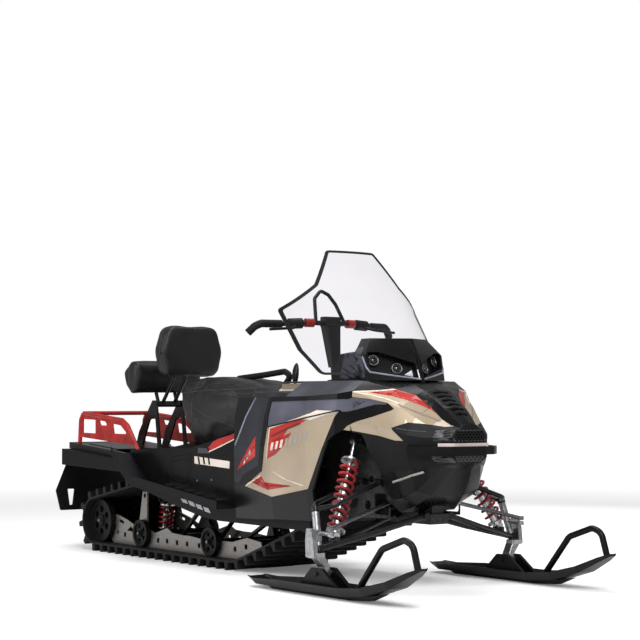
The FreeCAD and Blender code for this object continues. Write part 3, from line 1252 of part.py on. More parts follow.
def make_flap():
    x = size("rear_end")
    half = size("tunnel_half")
    outline = [(-213.0, 484.0), (213.0, 484.0), (half + 22.0, 290.0), (half - 5.0, 188.0), (-half + 5.0, 188.0),
               (-half - 22.0, 290.0)]
    panel = slab("YZ", outline, x, x + 8.0, 8.0)
    for side in (-1, 1):
        window = [(side * 231.0, 297.0), (side * 190.0, 296.0), (side * 200.0, 214.0), (side * 218.0, 213.0)]
        panel = panel.cut(slab("YZ", window, x - 10.0, x + 20.0, 4.0))
    under = size("pad_gap")
    inner = x + 62.0
    flange = slab("XZ", [(x, 470.0), (x + 8.0, 470.0), (x + 8.0, 490.0), (inner, tunnel_under(inner) - 10.0),
                         (inner, tunnel_under(inner) - under), (x, tunnel_under(x) - under)], -213.0, 213.0)
    solid("snow_flap", joined([panel, flange]))


def make_hitch():
    rear = size("rear_end") + 12.0
    plate = size("hitch_plate")
    z = 430.0
    tongue = slab("XY", [(rear + 4.0, -24.0), (rear + 120.0, -45.0), (rear + 120.0, 45.0), (rear + 4.0, 24.0)],
                  z, z + plate, 10.0)
    hole = disc((rear + 34.0, 0, z + plate / 2), (0, 0, 1), size("hitch_hole"), 60.0)
    post = slab("XZ", [(rear + 60.0, z), (rear + 120.0, z), (rear + 120.0, tunnel_z(rear + 120.0) - 4.3),
                       (rear + 60.0, tunnel_z(rear + 60.0) - 4.3)], -30.0, 30.0)
    solid("hitch", joined([tongue, post]).cut(hole))


def build():
    make_track()
    make_wheels()
    make_skid()
    make_arms()
    make_spindle()
    make_skis()
    make_tie_rods()
    make_front_shocks()
    make_tunnel()
    make_boards()
    make_bulkhead()
    make_engine()
    make_fascia(make_nose())
    make_bumper()
    make_side_panels()
    make_console()
    make_handlebar()
    make_windshield()
    make_pod()
    make_seat()
    make_seat_base()
    make_tank()
    make_grab_handle()
    make_backrests()
    make_rack()
    make_flap()
    make_hitch()


def export():
    """Check every object and write each sub-part to its own file."""
    DOCUMENT.recompute()
    for item in DOCUMENT.Objects:
        failed = {"Invalid", "Error"} & set(item.State)
        if failed:
            raise RuntimeError(f"{item.Label} is {failed}")
    os.makedirs("parts", exist_ok=True)
    for label, item in NODES.items():
        shape = item.Shape
        if shape.isNull() or not shape.Solids:
            raise RuntimeError(f"{label} has no solid")
        if not shape.isValid():
            raise RuntimeError(f"{label} is not a valid shape")
        shape.exportStep(os.path.join("parts", f"{label}.step"))
        print(label, len(shape.Solids), "solids", round(shape.Volume / 1e3), "cm3")


build()
export()
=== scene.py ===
"""Finish, soft goods, stage and camera of the utility snowmobile."""
import math

import bpy
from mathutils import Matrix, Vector


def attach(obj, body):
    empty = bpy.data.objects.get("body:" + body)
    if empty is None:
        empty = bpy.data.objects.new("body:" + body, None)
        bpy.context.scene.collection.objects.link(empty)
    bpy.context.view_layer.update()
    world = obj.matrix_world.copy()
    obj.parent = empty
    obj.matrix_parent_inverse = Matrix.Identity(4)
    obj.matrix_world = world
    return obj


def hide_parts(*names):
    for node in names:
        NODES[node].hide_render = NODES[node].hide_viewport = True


bl_info = {
    "name": "Utility snowmobile",
    "version": (1, 0, 0),
    "blender": (4, 5, 0),
    "location": "View3D > Sidebar > Snowmobile",
    "description": "Dresses the snowmobile: paint, plastics, vinyl, graphics, lamps and its stage",
    "category": "Add Mesh",
}

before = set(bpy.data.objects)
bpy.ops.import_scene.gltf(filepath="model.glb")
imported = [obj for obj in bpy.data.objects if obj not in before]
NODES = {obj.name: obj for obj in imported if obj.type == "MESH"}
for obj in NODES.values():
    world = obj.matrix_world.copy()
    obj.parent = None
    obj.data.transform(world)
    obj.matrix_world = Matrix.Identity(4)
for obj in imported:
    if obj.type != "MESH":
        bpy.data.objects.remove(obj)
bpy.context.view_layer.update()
MM = 0.001


# Helpers


def linear(hex_colour):
    """Turns an sRGB hex colour to linear RGBA."""
    channels = [int(hex_colour[i:i + 2], 16) / 255 for i in (1, 3, 5)]
    return (*[c / 12.92 if c <= 0.04045 else ((c + 0.055) / 1.055) ** 2.4 for c in channels], 1.0)


def add_node(tree, kind, settings=None, sockets=None):
    """Adds a shader node with its settings; a socket takes a value or another node's output."""
    made = tree.nodes.new(kind)
    for name, value in (settings or {}).items():
        setattr(made, name, value)
    for name, value in (sockets or {}).items():
        if isinstance(value, bpy.types.NodeSocket):
            tree.links.new(value, made.inputs[name])
        else:
            made.inputs[name].default_value = value
    return made


def new_material(name):
    """Empty node material with its output and a principled shader linked."""
    material = bpy.data.materials.new(name)
    material.use_nodes = True
    tree = material.node_tree
    tree.nodes.clear()
    shader = add_node(tree, "ShaderNodeBsdfPrincipled")
    add_node(tree, "ShaderNodeOutputMaterial", sockets={"Surface": shader.outputs["BSDF"]})
    return material, tree, shader


def place_coords(tree, stretch=(1.0, 1.0, 1.0)):
    """Place on the machine, stretched where a finish runs one way."""
    place = add_node(tree, "ShaderNodeTexCoord").outputs["Object"]
    return add_node(tree, "ShaderNodeMapping", sockets={"Vector": place, "Scale": stretch}).outputs["Vector"]


def noise(tree, vector, millimetres, detail=3.0):
    """Noise whose blobs measure about so many millimetres."""
    made = add_node(tree, "ShaderNodeTexNoise", sockets={
        "Vector": vector, "Scale": 1000.0 / millimetres, "Detail": detail})
    return made.outputs["Fac"]


def ramp(tree, factor, stops):
    """Colour ramp of (place, hex colour) stops."""
    made = add_node(tree, "ShaderNodeValToRGB", sockets={"Fac": factor})
    bands = made.color_ramp.elements
    while len(bands) < len(stops):
        bands.new(0.5)
    for band, (position, colour) in zip(bands, stops):
        band.position = position
        band.color = linear(colour)
    return made.outputs["Color"]


def remap(tree, factor, low, high):
    """Takes a factor of 0 to 1 to a range."""
    made = add_node(tree, "ShaderNodeMapRange", sockets={"Value": factor, "To Min": low, "To Max": high})
    return made.outputs["Result"]


def relief(tree, shader, height, depth, rounding=0.0, strength=1.0):
    """Bump of a depth in millimetres, over edges rounded by some millimetres."""
    sockets = {"Height": height, "Distance": depth * MM, "Strength": strength}
    if rounding:
        edge = add_node(tree, "ShaderNodeBevel", {"samples": 4}, {"Radius": rounding * MM})
        sockets["Normal"] = edge.outputs["Normal"]
    made = add_node(tree, "ShaderNodeBump", sockets=sockets)
    tree.links.new(made.outputs["Normal"], shader.inputs["Normal"])


def skin_colour(tree, vector, shader, base, shade, patch=140.0):
    """Slow change between two near colours, as from handling and moulding flow."""
    flow = noise(tree, vector, patch, 4.0)
    tree.links.new(ramp(tree, flow, [(0.30, shade), (0.72, base)]), shader.inputs["Base Color"])
    return flow


# Materials


def moulded_plastic(name, base, shade, rough, grain=1.6, depth=0.05, rounding=1.5):
    """Injection-moulded ABS: even dark colour, satin gloss, a fine spark-eroded grain."""
    material, tree, shader = new_material(name)
    vector = place_coords(tree)
    flow = skin_colour(tree, vector, shader, base, shade)
    tree.links.new(remap(tree, flow, rough - 0.05, rough + 0.07), shader.inputs["Roughness"])
    shader.inputs["Specular IOR Level"].default_value = 0.18
    relief(tree, shader, noise(tree, vector, grain, 2.0), depth, rounding)
    return material


def metallic_paint(name, base, shade):
    """Sprayed metallic paint: flakes under a clear lacquer, so it glints and keeps sharp highlights."""
    material, tree, shader = new_material(name)
    vector = place_coords(tree)
    flake = noise(tree, vector, 2.2, 5.0)
    flow = noise(tree, vector, 260.0, 2.0)
    body = ramp(tree, flow, [(0.3, shade), (0.7, base)])
    glint = ramp(tree, flake, [(0.35, shade), (0.65, base)])
    mixed = add_node(tree, "ShaderNodeMix", {"data_type": "RGBA"}, {0: 0.35, 6: body, 7: glint})
    tree.links.new(mixed.outputs[2], shader.inputs["Base Color"])
    shader.inputs["Metallic"].default_value = 0.35
    tree.links.new(remap(tree, flake, 0.36, 0.50), shader.inputs["Roughness"])
    shader.inputs["Coat Weight"].default_value = 0.6
    shader.inputs["Coat Roughness"].default_value = 0.09
    relief(tree, shader, noise(tree, vector, 7.0, 1.0), 0.03, 1.6)
    return material


def powder_coat(name, base, shade, rough=0.34):
    """Baked powder coat on steel: thick glossy skin with a slight orange peel."""
    material, tree, shader = new_material(name)
    vector = place_coords(tree)
    flow = skin_colour(tree, vector, shader, base, shade, 60.0)
    tree.links.new(remap(tree, flow, rough - 0.05, rough + 0.08), shader.inputs["Roughness"])
    shader.inputs["Specular IOR Level"].default_value = 0.25
    shader.inputs["Coat Weight"].default_value = 0.2
    relief(tree, shader, noise(tree, vector, 3.0, 1.0), 0.06, 1.0)
    return material


def bare_metal(name, base, shade, rough, grain, stretch=(1.0, 1.0, 1.0), depth=0.03):
    """Bare or anodised metal: cast, drawn or rolled, by its grain and how it is stretched."""
    material, tree, shader = new_material(name)
    vector = place_coords(tree, stretch)
    streak = noise(tree, vector, grain, 4.0)
    tree.links.new(ramp(tree, streak, [(0.3, shade), (0.7, base)]), shader.inputs["Base Color"])
    shader.inputs["Metallic"].default_value = 1.0
    tree.links.new(remap(tree, streak, rough - 0.06, rough + 0.1), shader.inputs["Roughness"])
    relief(tree, shader, streak, depth, 0.8)
    return material


def track_rubber():
    """Moulded track rubber: near black, dusty grey on its worn faces, with a fine bumpy grain."""
    material, tree, shader = new_material("Moulded track rubber")
    vector = place_coords(tree)
    wear = noise(tree, vector, 34.0, 6.0)
    tree.links.new(ramp(tree, wear, [(0.35, "#09090a"), (0.62, "#101011"), (0.78, "#1d1c1c")]),
                   shader.inputs["Base Color"])
    shader.inputs["Specular IOR Level"].default_value = 0.3
    tree.links.new(remap(tree, wear, 0.55, 0.8), shader.inputs["Roughness"])
    relief(tree, shader, noise(tree, vector, 4.0, 3.0), 0.25, 1.5)
    return material


def seat_vinyl(name, base, shade):
    """Grained vinyl over foam: small closed cells like leather, dull with a soft sheen."""
    material, tree, shader = new_material(name)
    vector = place_coords(tree)
    flow = skin_colour(tree, vector, shader, base, shade, 90.0)
    # cells of 3.4 mm, about twice the real grain, so that they show in the picture
    cells = add_node(tree, "ShaderNodeTexVoronoi", {"feature": "DISTANCE_TO_EDGE"},
                     {"Vector": vector, "Scale": 1000.0 / 3.4}).outputs["Distance"]
    tree.links.new(remap(tree, flow, 0.38, 0.50), shader.inputs["Roughness"])
    shader.inputs["Specular IOR Level"].default_value = 0.38
    relief(tree, shader, remap(tree, cells, 0.0, 1.0), 0.5, 0.0, 0.5)
    return material


def clear_sheet():
    """Polycarbonate windscreen: clear with a faint grey tint and thin reflections."""
    material, tree, shader = new_material("Clear polycarbonate")
    tree.nodes.remove(shader)
    output = next(item for item in tree.nodes if item.type == "OUTPUT_MATERIAL")
    vector = place_coords(tree)
    haze = ramp(tree, noise(tree, vector, 300.0, 2.0), [(0.3, "#f8f7f9"), (0.7, "#fcfbfd")])
    clear = add_node(tree, "ShaderNodeBsdfTransparent", sockets={"Color": haze})
    gloss = add_node(tree, "ShaderNodeBsdfGlossy", sockets={"Roughness": 0.06})
    facing = add_node(tree, "ShaderNodeFresnel", sockets={"IOR": 1.45})
    back = add_node(tree, "ShaderNodeNewGeometry").outputs["Backfacing"]
    share = add_node(tree, "ShaderNodeMath", {"operation": "MULTIPLY"},
                     {0: facing.outputs["Fac"], 1: remap(tree, back, 1.0, 0.0)})
    mixed = add_node(tree, "ShaderNodeMixShader", sockets={
        0: share.outputs["Value"], 1: clear.outputs["BSDF"], 2: gloss.outputs["BSDF"]})
    tree.links.new(mixed.outputs["Shader"], output.inputs["Surface"])
    return material


def woven_grille():
    """Pressed steel mesh, painted black: paler wires 10 mm apart on the slant over near-black gaps, painted
    shade of the openings behind.
    """
    material, tree, shader = new_material("Pressed grille mesh")
    vector = place_coords(tree)
    slant = 0.8
    pitch = 10.0 * MM
    wires = []
    for turn in (slant, -slant):
        turned = add_node(tree, "ShaderNodeMapping", sockets={
            "Vector": vector, "Rotation": (turn, turn, 0.0)})
        # at a scale of 1 the wave repeats every tau / 20 metres
        wave = add_node(tree, "ShaderNodeTexWave", {"bands_direction": "Z"},
                        {"Vector": turned.outputs["Vector"], "Scale": math.tau / 20.0 / pitch})
        wires.append(wave.outputs["Fac"])
    crossed = add_node(tree, "ShaderNodeMath", {"operation": "MAXIMUM"}, {0: wires[0], 1: wires[1]})
    both = crossed.outputs["Value"]
    # the near-black stop is painted shade in the mesh's gaps
    tree.links.new(ramp(tree, both, [(0.55, "#050506"), (0.80, "#3a3a3e")]), shader.inputs["Base Color"])
    tree.links.new(remap(tree, both, 0.8, 0.4), shader.inputs["Roughness"])
    relief(tree, shader, both, 0.8)
    return material


def sticker_film(name, base, shade):
    """Printed vinyl film: flat colour under a thin clear gloss, faintly uneven from its print."""
    material, tree, shader = new_material(name)
    vector = place_coords(tree)
    flow = skin_colour(tree, vector, shader, base, shade, 120.0)
    tree.links.new(remap(tree, flow, 0.30, 0.42), shader.inputs["Roughness"])
    shader.inputs["Specular IOR Level"].default_value = 0.3
    shader.inputs["Coat Weight"].default_value = 0.2
    relief(tree, shader, noise(tree, vector, 30.0, 1.0), 0.04)
    return material


def lamp_lens():
    """Lamp lens over a dark reflector: glossy and dark, with pale specks of painted reflection."""
    material, tree, shader = new_material("Lamp lens")
    vector = place_coords(tree)
    speck_and_painted_glint = noise(tree, vector, 5.0, 2.0)
    # the palest stop paints specks of reflection on the dark lens
    tree.links.new(ramp(tree, speck_and_painted_glint, [(0.35, "#0f1012"), (0.62, "#2c2e32"), (0.74, "#8e949c")]),
                   shader.inputs["Base Color"])
    tree.links.new(remap(tree, speck_and_painted_glint, 0.05, 0.14), shader.inputs["Roughness"])
    shader.inputs["Coat Weight"].default_value = 1.0
    shader.inputs["Metallic"].default_value = 0.6
    relief(tree, shader, speck_and_painted_glint, 0.05, 0.0)
    return material


MATERIALS = {}


def materials():
    """Every finish, made once and kept by a short name."""
    if MATERIALS:
        return MATERIALS
    paint = bpy.context.scene.snowmobile_paint
    MATERIALS.update({
        "black": moulded_plastic("Moulded black ABS", paint.black, "#0a0a0b", 0.27),
        "matt": moulded_plastic("Textured black polypropylene", "#121213", "#0a0a0b", 0.50, 2.4, 0.14),
        "charcoal": moulded_plastic("Moulded charcoal ABS", paint.charcoal, "#33343b", 0.34),
        "grey": moulded_plastic("Moulded blue-grey ABS", "#5e5e6d", "#494953", 0.32),
        "column": moulded_plastic("Moulded graphite ABS", "#2e2f36", "#212228", 0.30),
        "ski": moulded_plastic("Ski polyethylene", "#111112", "#09090a", 0.36, 5.0, 0.1, 2.5),
        "gold": metallic_paint("Gold metallic paint", paint.gold, "#93836e"),
        "red": powder_coat("Red powder coat", paint.red, "#7e1713"),
        "spring": powder_coat("Red spring enamel", "#a01c1f", "#701013", 0.28),
        "steel": powder_coat("Black powder coat", "#111113", "#09090a", 0.36),
        "forged": bare_metal("Forged aluminium", "#b9babb", "#8a8b8d", 0.38, 9.0, depth=0.12),
        "anodised": bare_metal("Black anodised sheet", "#29292c", "#19191b", 0.44, 5.0, (1.0, 14.0, 14.0)),
        "alloy": bare_metal("Drawn aluminium", "#c9cacc", "#a4a5a8", 0.24, 3.0, (1.0, 9.0, 9.0)),
        "bulkhead": bare_metal("Cast bulkhead alloy", "#4e4c4c", "#343333", 0.55, 8.0, depth=0.15),
        "casting": bare_metal("Cast engine alloy", "#6d6e70", "#4b4c4e", 0.55, 6.0, depth=0.2),
        "rubber": track_rubber(),
        "grip": moulded_plastic("Grip rubber", "#161617", "#0d0d0e", 0.62, 3.0, 0.3),
        "vinyl": seat_vinyl("Grained seat vinyl", "#151416", "#0d0d0f"),
        "piping": seat_vinyl("Seat piping vinyl", "#343339", "#242328"),
        "screen": clear_sheet(),
        "rail": bare_metal("Milled rail alloy", "#aeaaa6", "#716d6a", 0.44, 6.0, (1.0, 5.0, 5.0), depth=0.08),
        "rod": bare_metal("Zinc plated rod", "#8d8e92", "#5c5d61", 0.34, 4.0),
        "lens": lamp_lens(),
        "strip": sticker_film("Frosted lamp strip", "#e9dcd8", "#cfc0bc"),
        "grille": woven_grille(),
        "film_red": sticker_film("Red sticker film", "#b8261f", "#96201c"),
        "film_dark": sticker_film("Dark red sticker film", "#7c1917", "#651413"),
        "film_pale": sticker_film("Pale sticker film", "#e3d8cc", "#d2c5b6"),
        "film_white": sticker_film("White lamp strip", "#e9e9ee", "#dcdce3"),
        # light gold film for painted highlights along creases
        "film_gold_highlight": sticker_film("Painted highlight on gold paint", "#e3d7c4", "#d6c8b2"),
        "film_shade": sticker_film("Shaded fold of gold paint", "#8d7c66", "#7c6c58"),
        # grey film for printed bars, painted shade in a recess and a painted highlight on the belly
        "film_grey_print_and_painted_light": sticker_film("Grey film for print and painted light", "#a19d96", "#8b8780"),
        # blue-grey film: the lamps' lip, and a painted highlight along the columns' front edge
        "film_blue": sticker_film("Blue-grey film", "#8d91a4", "#75798c"),
        "shadow": moulded_plastic("Unlit gap", "#0a0a0b", "#060607", 0.7),
    })
    return MATERIALS


NODE_FINISH = {
    "track": "rubber", "skid_wheels": "matt", "drive_axle": "matt", "slide_rails": "rail",
    "swing_arms": "steel", "suspension_arms": "steel", "spindle_left": "forged", "spindle_right": "forged",
    "ski_left": "ski", "ski_right": "ski", "tie_rods": "rod", "shocks": "alloy", "springs": "spring",
    "tunnel": "anodised", "running_boards": "anodised", "bulkhead": "bulkhead", "engine_block": "casting",
    "hood": "black", "cheeks": "gold", "belly_pan": "black", "fascia": "matt", "lamp_strip": "strip",
    "bumper": "black", "side_panels": "gold", "upper_panels": "grey", "side_frames": "black",
    "footwell_columns": "column", "console": "charcoal", "handlebar": "steel", "grips": "grip",
    "switch_blocks": "matt", "bar_clamps": "red", "windshield": "screen", "windshield_trim": "matt",
    "headlamp_pod": "black", "headlamps": "lens", "seat": "vinyl", "seat_base": "matt",
    "tunnel_covers": "black", "tank_cover": "gold", "grab_handle": "grip", "front_backrest_pad": "vinyl",
    "front_backrest_frame": "steel", "rear_backrest_pad": "vinyl", "rear_backrest_frame": "steel",
    "backrest_stand": "steel", "cargo_rack": "steel", "rack_hoops": "red", "snow_flap": "matt",
    "hitch": "steel",
}


# Sizes in millimetres, angles in degrees


# points of a copied mesh that are nearer than this are one, and along a seam
MERGE = 0.02
SEAM_WELD = 1.5
# faces that turn less than this are one flat face of the shell
FLAT_FACES = 0.5
CREASE_STEPS = 4
CLOTH_STEPS = 20
WASHER = 1.2
# a face whose outward share is less than this looks away from the view
EDGE_ON = 0.15
# the long seat has wide curves, so its grain is coarser than the pads'
SEAT_COARSER = 1.3
SEAT_RELAX = 12
PAD_SWELL = 0.6
PAD_RELAX = 24
# stitched ovals on the seat's sides: middle x and z, half length and half height
SEAT_PANELS = [(-506, 833, 88, 26), (-187, 818, 185, 34)]
PANEL_RISE = 7.0
# middles of the four lamps' faces, how far they look out and up for each step ahead, and their rings
LAMPS = [(924, 72, 885), (877, 158, 918), (924, -72, 885), (877, -158, 918)]
LAMP_OUT = 0.42
LAMP_UP = 0.36
LAMP_AHEAD = 8.0
BEZEL = (21.0, 2.6)
PROJECTOR = 11.0
LAMP_LIP = [(868, 205, 934), (893, 204, 890), (904, 195, 872), (950, 106, 857), (1004, 8, 843)]
# how far the console's fins stand to the side, their middle's x and z, and their half sizes
FIN_OUT = 190
FIN_MIDDLE = (382, 872)
FIN_HALF = (22, 8, 46)
FIN_FOOT = 828
FIN_HEIGHT = 92
FIN_LEAN = 12
# how far from the middle the seat's sides, the wheels' faces and the covers' faces are
SEAT_SIDE = 150
WHEEL_FACE = 214
COVER_FACE = 289
# x and z, and on the wheels the width across the head
WHEEL_BOLTS = [(-1266, 152, 17), (-882, 110.3, 15), (-267, 110.3, 15)]
COVER_SCREWS = [(-470, 548), (-236, 393), (-118, 400)]
SIDES = (("right", -1), ("left", 1))
# axes that a view shows across and upwards, and the one it looks along
PLANES = {"side": (0, 2, 1), "top": (0, 1, 2), "front": (1, 2, 0)}


# Modelling helpers


def only(piece):
    """Leaves one object selected and active."""
    bpy.ops.object.select_all(action="DESELECT")
    piece.hide_set(False)
    piece.select_set(True)
    bpy.context.view_layer.objects.active = piece
    return piece


def finish_piece(piece, finish, body="root"):
    """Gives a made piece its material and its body."""
    piece.data.materials.clear()
    piece.data.materials.append(materials()[finish])
    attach(piece, body)
    return piece


def copy_node(node, name):
    """Own copy of a CAD node's mesh with its doubles merged."""
    piece = bpy.data.objects.new(name, NODES[node].data.copy())
    bpy.context.scene.collection.objects.link(piece)
    piece.data.materials.clear()
    only(piece)
    bpy.ops.object.mode_set(mode="EDIT")
    bpy.ops.mesh.select_all(action="SELECT")
    bpy.ops.mesh.remove_doubles(threshold=MERGE * MM)
    bpy.ops.object.mode_set(mode="OBJECT")
    return piece


def copied(source, name):
    """Own copy of a made piece's mesh."""
    piece = bpy.data.objects.new(name, bpy.data.objects[source].data.copy())
    bpy.context.scene.collection.objects.link(piece)
    return piece


def modified(piece, kind, **settings):
    """Adds a modifier with its settings to the active piece and applies it."""
    bpy.ops.object.modifier_add(type=kind)
    made = piece.modifiers[-1]
    for name, value in settings.items():
        setattr(made, name, value)
    bpy.ops.object.modifier_apply(modifier=made.name)


def settled(name):
    """Names the primitive just added and puts its place into its mesh."""
    piece = bpy.context.active_object
    piece.name = name
    bpy.ops.object.transform_apply(location=True, rotation=True, scale=True)
    return piece


def patch(name, sources, outline, finish, view="side", lift=0.5):
    """Thin layer on the outside of pieces, inside a convex outline in millimetres as a view shows it."""
    across, up, depth = PLANES[view]
    piece, *others = [copy_node(item, name) if item in NODES else copied(item, name) for item in sources]
    only(piece)
    for other in others:
        other.select_set(True)
    if others:
        bpy.ops.object.join()
    turn = sum(a[0] * b[1] - b[0] * a[1] for a, b in zip(outline, outline[1:] + outline[:1]))
    sign = 1.0 if turn > 0 else -1.0
    bpy.ops.object.mode_set(mode="EDIT")
    for (a0, b0), (a1, b1) in zip(outline, outline[1:] + outline[:1]):
        place = [0.0, 0.0, 0.0]
        place[across] = a0 * MM
        place[up] = b0 * MM
        normal = [0.0, 0.0, 0.0]
        length = math.hypot(a1 - a0, b1 - b0)
        normal[across] = sign * (b1 - b0) / length
        normal[up] = -sign * (a1 - a0) / length
        bpy.ops.mesh.select_all(action="SELECT")
        bpy.ops.mesh.bisect(plane_co=place, plane_no=normal, clear_outer=True)
    bpy.ops.mesh.select_all(action="DESELECT")
    bpy.ops.object.mode_set(mode="OBJECT")
    for face in piece.data.polygons:
        facing = face.normal[depth] * (1.0 if view != "side" or face.center.y > 0 else -1.0)
        face.select = facing < EDGE_ON
    bpy.ops.object.mode_set(mode="EDIT")
    bpy.ops.mesh.delete(type="FACE")
    bpy.ops.object.mode_set(mode="OBJECT")
    if not piece.data.polygons:
        raise RuntimeError(f"{name} is empty")
    modified(piece, "SOLIDIFY", thickness=lift * MM, offset=1.0)
    return finish_piece(piece, finish)


def softened(node, name, finish, width, flattest=4.0, sharpest=62.0):
    """Copy of a moulded shell whose creases are rounded as its mould's are, in place of the CAD piece."""
    piece = copy_node(node, name)
    modified(piece, "DECIMATE", decimate_type="DISSOLVE", angle_limit=math.radians(FLAT_FACES))
    bpy.ops.object.mode_set(mode="EDIT")
    bpy.ops.mesh.select_mode(type="EDGE")
    bpy.ops.mesh.select_all(action="DESELECT")
    bpy.ops.object.mode_set(mode="OBJECT")
    faces_at = {}
    for face in piece.data.polygons:
        for key in face.edge_keys:
            faces_at.setdefault(key, []).append(face)
    for edge in piece.data.edges:
        beside = faces_at.get(edge.key, [])
        if len(beside) == 2:
            turn = math.degrees(beside[0].normal.angle(beside[1].normal, 0.0))
            edge.select = flattest < turn < sharpest
    bpy.ops.object.mode_set(mode="EDIT")
    bpy.ops.transform.edge_bevelweight(value=1.0)
    bpy.ops.mesh.select_mode(type="VERT")
    bpy.ops.mesh.select_all(action="DESELECT")
    bpy.ops.object.mode_set(mode="OBJECT")
    modified(piece, "BEVEL", limit_method="WEIGHT", width=width * MM, segments=CREASE_STEPS)
    smooth(piece, 30)
    finish_piece(piece, finish, "root")
    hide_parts(node)
    return piece


def band(points, width):
    """Convex outlines of a stripe of one width along points, run by run."""
    runs = []
    for (a0, b0), (a1, b1) in zip(points, points[1:]):
        length = math.hypot(a1 - a0, b1 - b0)
        da = (b1 - b0) / length * width / 2
        db = -(a1 - a0) / length * width / 2
        runs.append([(a0 + da, b0 + db), (a1 + da, b1 + db), (a1 - da, b1 - db), (a0 - da, b0 - db)])
    return runs


def stripe(name, sources, points, width, finish, view="side", lift=0.5):
    """Lays a stripe along points in millimetres, one thin layer for each run."""
    for index, outline in enumerate(band(points, width)):
        patch(f"{name}_{index}", sources, outline, finish, view, lift)


def bars(name, sources, start, step, shape, finishes, lift):
    """Row of slanted bars in place of printed words or rungs, one for each finish."""
    for index, finish in enumerate(finishes):
        x = start[0] + index * step[0]
        z = start[1] + index * step[1]
        patch(f"{name}_{index}", sources, [(x + a, z + b) for a, b in shape], finish, lift=lift)


def on_surface(target, points, lift):
    """Points in millimetres moved to the nearest places of a piece's skin, lifted off it."""
    placed = []
    for point in points:
        _, spot, normal, _ = target.closest_point_on_mesh(Vector(point) * MM)
        placed.append(tuple((spot + normal * lift * MM) / MM))
    return placed


def raise_panel(piece, centre_x, centre_z, half_x, half_z, height):
    """Swells the skin inside an oval seen from the side, most at its middle."""
    for vertex in piece.data.vertices:
        reach = ((vertex.co.x / MM - centre_x) / half_x) ** 2 + ((vertex.co.z / MM - centre_z) / half_z) ** 2
        if reach < 1.0:
            vertex.co += vertex.normal * height * MM * (1.0 - reach) ** 0.6
    piece.data.update()


def piece_box(piece):
    """Lowest and highest corner of a piece's mesh."""
    places = [vertex.co for vertex in piece.data.vertices]
    return (Vector([min(place[axis] for place in places) for axis in range(3)]),
            Vector([max(place[axis] for place in places) for axis in range(3)]))


def piping_round(source, name, place, normal, radius, body="root"):
    """Sewn piping right round a padded piece where a plane in millimetres cuts it."""
    piping = copied(source, name)
    only(piping)
    bpy.ops.object.mode_set(mode="EDIT")
    bpy.ops.mesh.select_all(action="SELECT")
    bpy.ops.mesh.bisect(plane_co=Vector(place) * MM, plane_no=Vector(normal).normalized(),
                        clear_inner=True, clear_outer=True)
    bpy.ops.mesh.select_all(action="SELECT")
    bpy.ops.mesh.remove_doubles(threshold=SEAM_WELD * MM)
    bpy.ops.object.mode_set(mode="OBJECT")
    if not piping.data.edges:
        raise RuntimeError(f"{name} is empty")
    bpy.ops.object.convert(target="CURVE")
    piping = bpy.context.active_object
    piping.data.bevel_depth = radius * MM
    piping.data.bevel_resolution = 2
    bpy.ops.object.convert(target="MESH")
    piping = bpy.context.active_object
    smooth(piping, 80)
    return finish_piece(piping, "piping", body)


def bolt(name, at, axis, across):
    """Hexagon screw head on its washer, its washer's foot at a point in millimetres."""
    turn = Vector(axis).to_track_quat("Z", "Y").to_euler()
    washer = (24, across * 0.72, WASHER, 0.0)
    head = (6, across * 0.56, across * 0.42, WASHER)
    parts = []
    for sides, radius, depth, base in (washer, head):
        bpy.ops.object.select_all(action="DESELECT")
        centre = Vector(at) + Vector(axis).normalized() * (base + depth / 2)
        bpy.ops.mesh.primitive_cylinder_add(vertices=sides, radius=radius * MM, depth=depth * MM,
                                            location=centre * MM, rotation=turn)
        part = settled(name)
        modified(part, "BEVEL", width=depth * 0.22 * MM, segments=2)
        parts.append(part)
    only(parts[0])
    parts[1].select_set(True)
    bpy.ops.object.join()
    return finish_piece(parts[0], "rod", "root")


def stuffed(piece, voxel, pressure, cap):
    """Blows a closed piece up like stuffed foam; no point moves further than cap. Lengths in millimetres."""
    only(piece)
    piece.data.remesh_voxel_size = voxel * MM
    bpy.ops.object.voxel_remesh()
    start = [vertex.co.copy() for vertex in piece.data.vertices]
    bpy.ops.object.modifier_add(type="CLOTH")
    cloth = piece.modifiers[-1]
    cloth.settings.use_pressure = True
    cloth.settings.uniform_pressure_force = pressure
    cloth.settings.effector_weights.gravity = 0.0
    cloth.settings.quality = 4
    scene = bpy.context.scene
    for step in range(1, CLOTH_STEPS + 1):
        scene.frame_set(step)
    bpy.ops.object.modifier_apply(modifier=cloth.name)
    scene.frame_set(1)
    for vertex, origin in zip(piece.data.vertices, start):
        move = vertex.co - origin
        if move.length > cap * MM:
            vertex.co = origin + move.normalized() * cap * MM
    return piece


def smooth(piece, angle):
    """Shades smooth but for edges sharper than an angle."""
    only(piece)
    bpy.ops.object.shade_smooth_by_angle(angle=math.radians(angle))
    return piece


def relax(piece, rounds):
    """Evens a remeshed surface out."""
    only(piece)
    modified(piece, "SMOOTH", iterations=rounds, factor=0.6)
    return piece


def tube_piece(name, points, radius, cyclic=False, smooth_path=True):
    """Round bead or piping along points in millimetres, as a mesh."""
    curve = bpy.data.curves.new(name, "CURVE")
    curve.dimensions = "3D"
    curve.bevel_depth = radius * MM
    curve.bevel_resolution = 3
    curve.use_fill_caps = True
    spline = curve.splines.new("NURBS" if smooth_path else "POLY")
    spline.points.add(len(points) - 1)
    for spot, point in zip(spline.points, points):
        spot.co = (*[value * MM for value in point], 1.0)
    spline.use_cyclic_u = cyclic
    if smooth_path:
        spline.order_u = 3
        spline.use_endpoint_u = not cyclic
        spline.resolution_u = 8
    holder = bpy.data.objects.new(name, curve)
    bpy.context.scene.collection.objects.link(holder)
    only(holder)
    bpy.ops.object.convert(target="MESH")
    piece = bpy.context.view_layer.objects.active
    piece.name = name
    return smooth(piece, 50)


# Operators


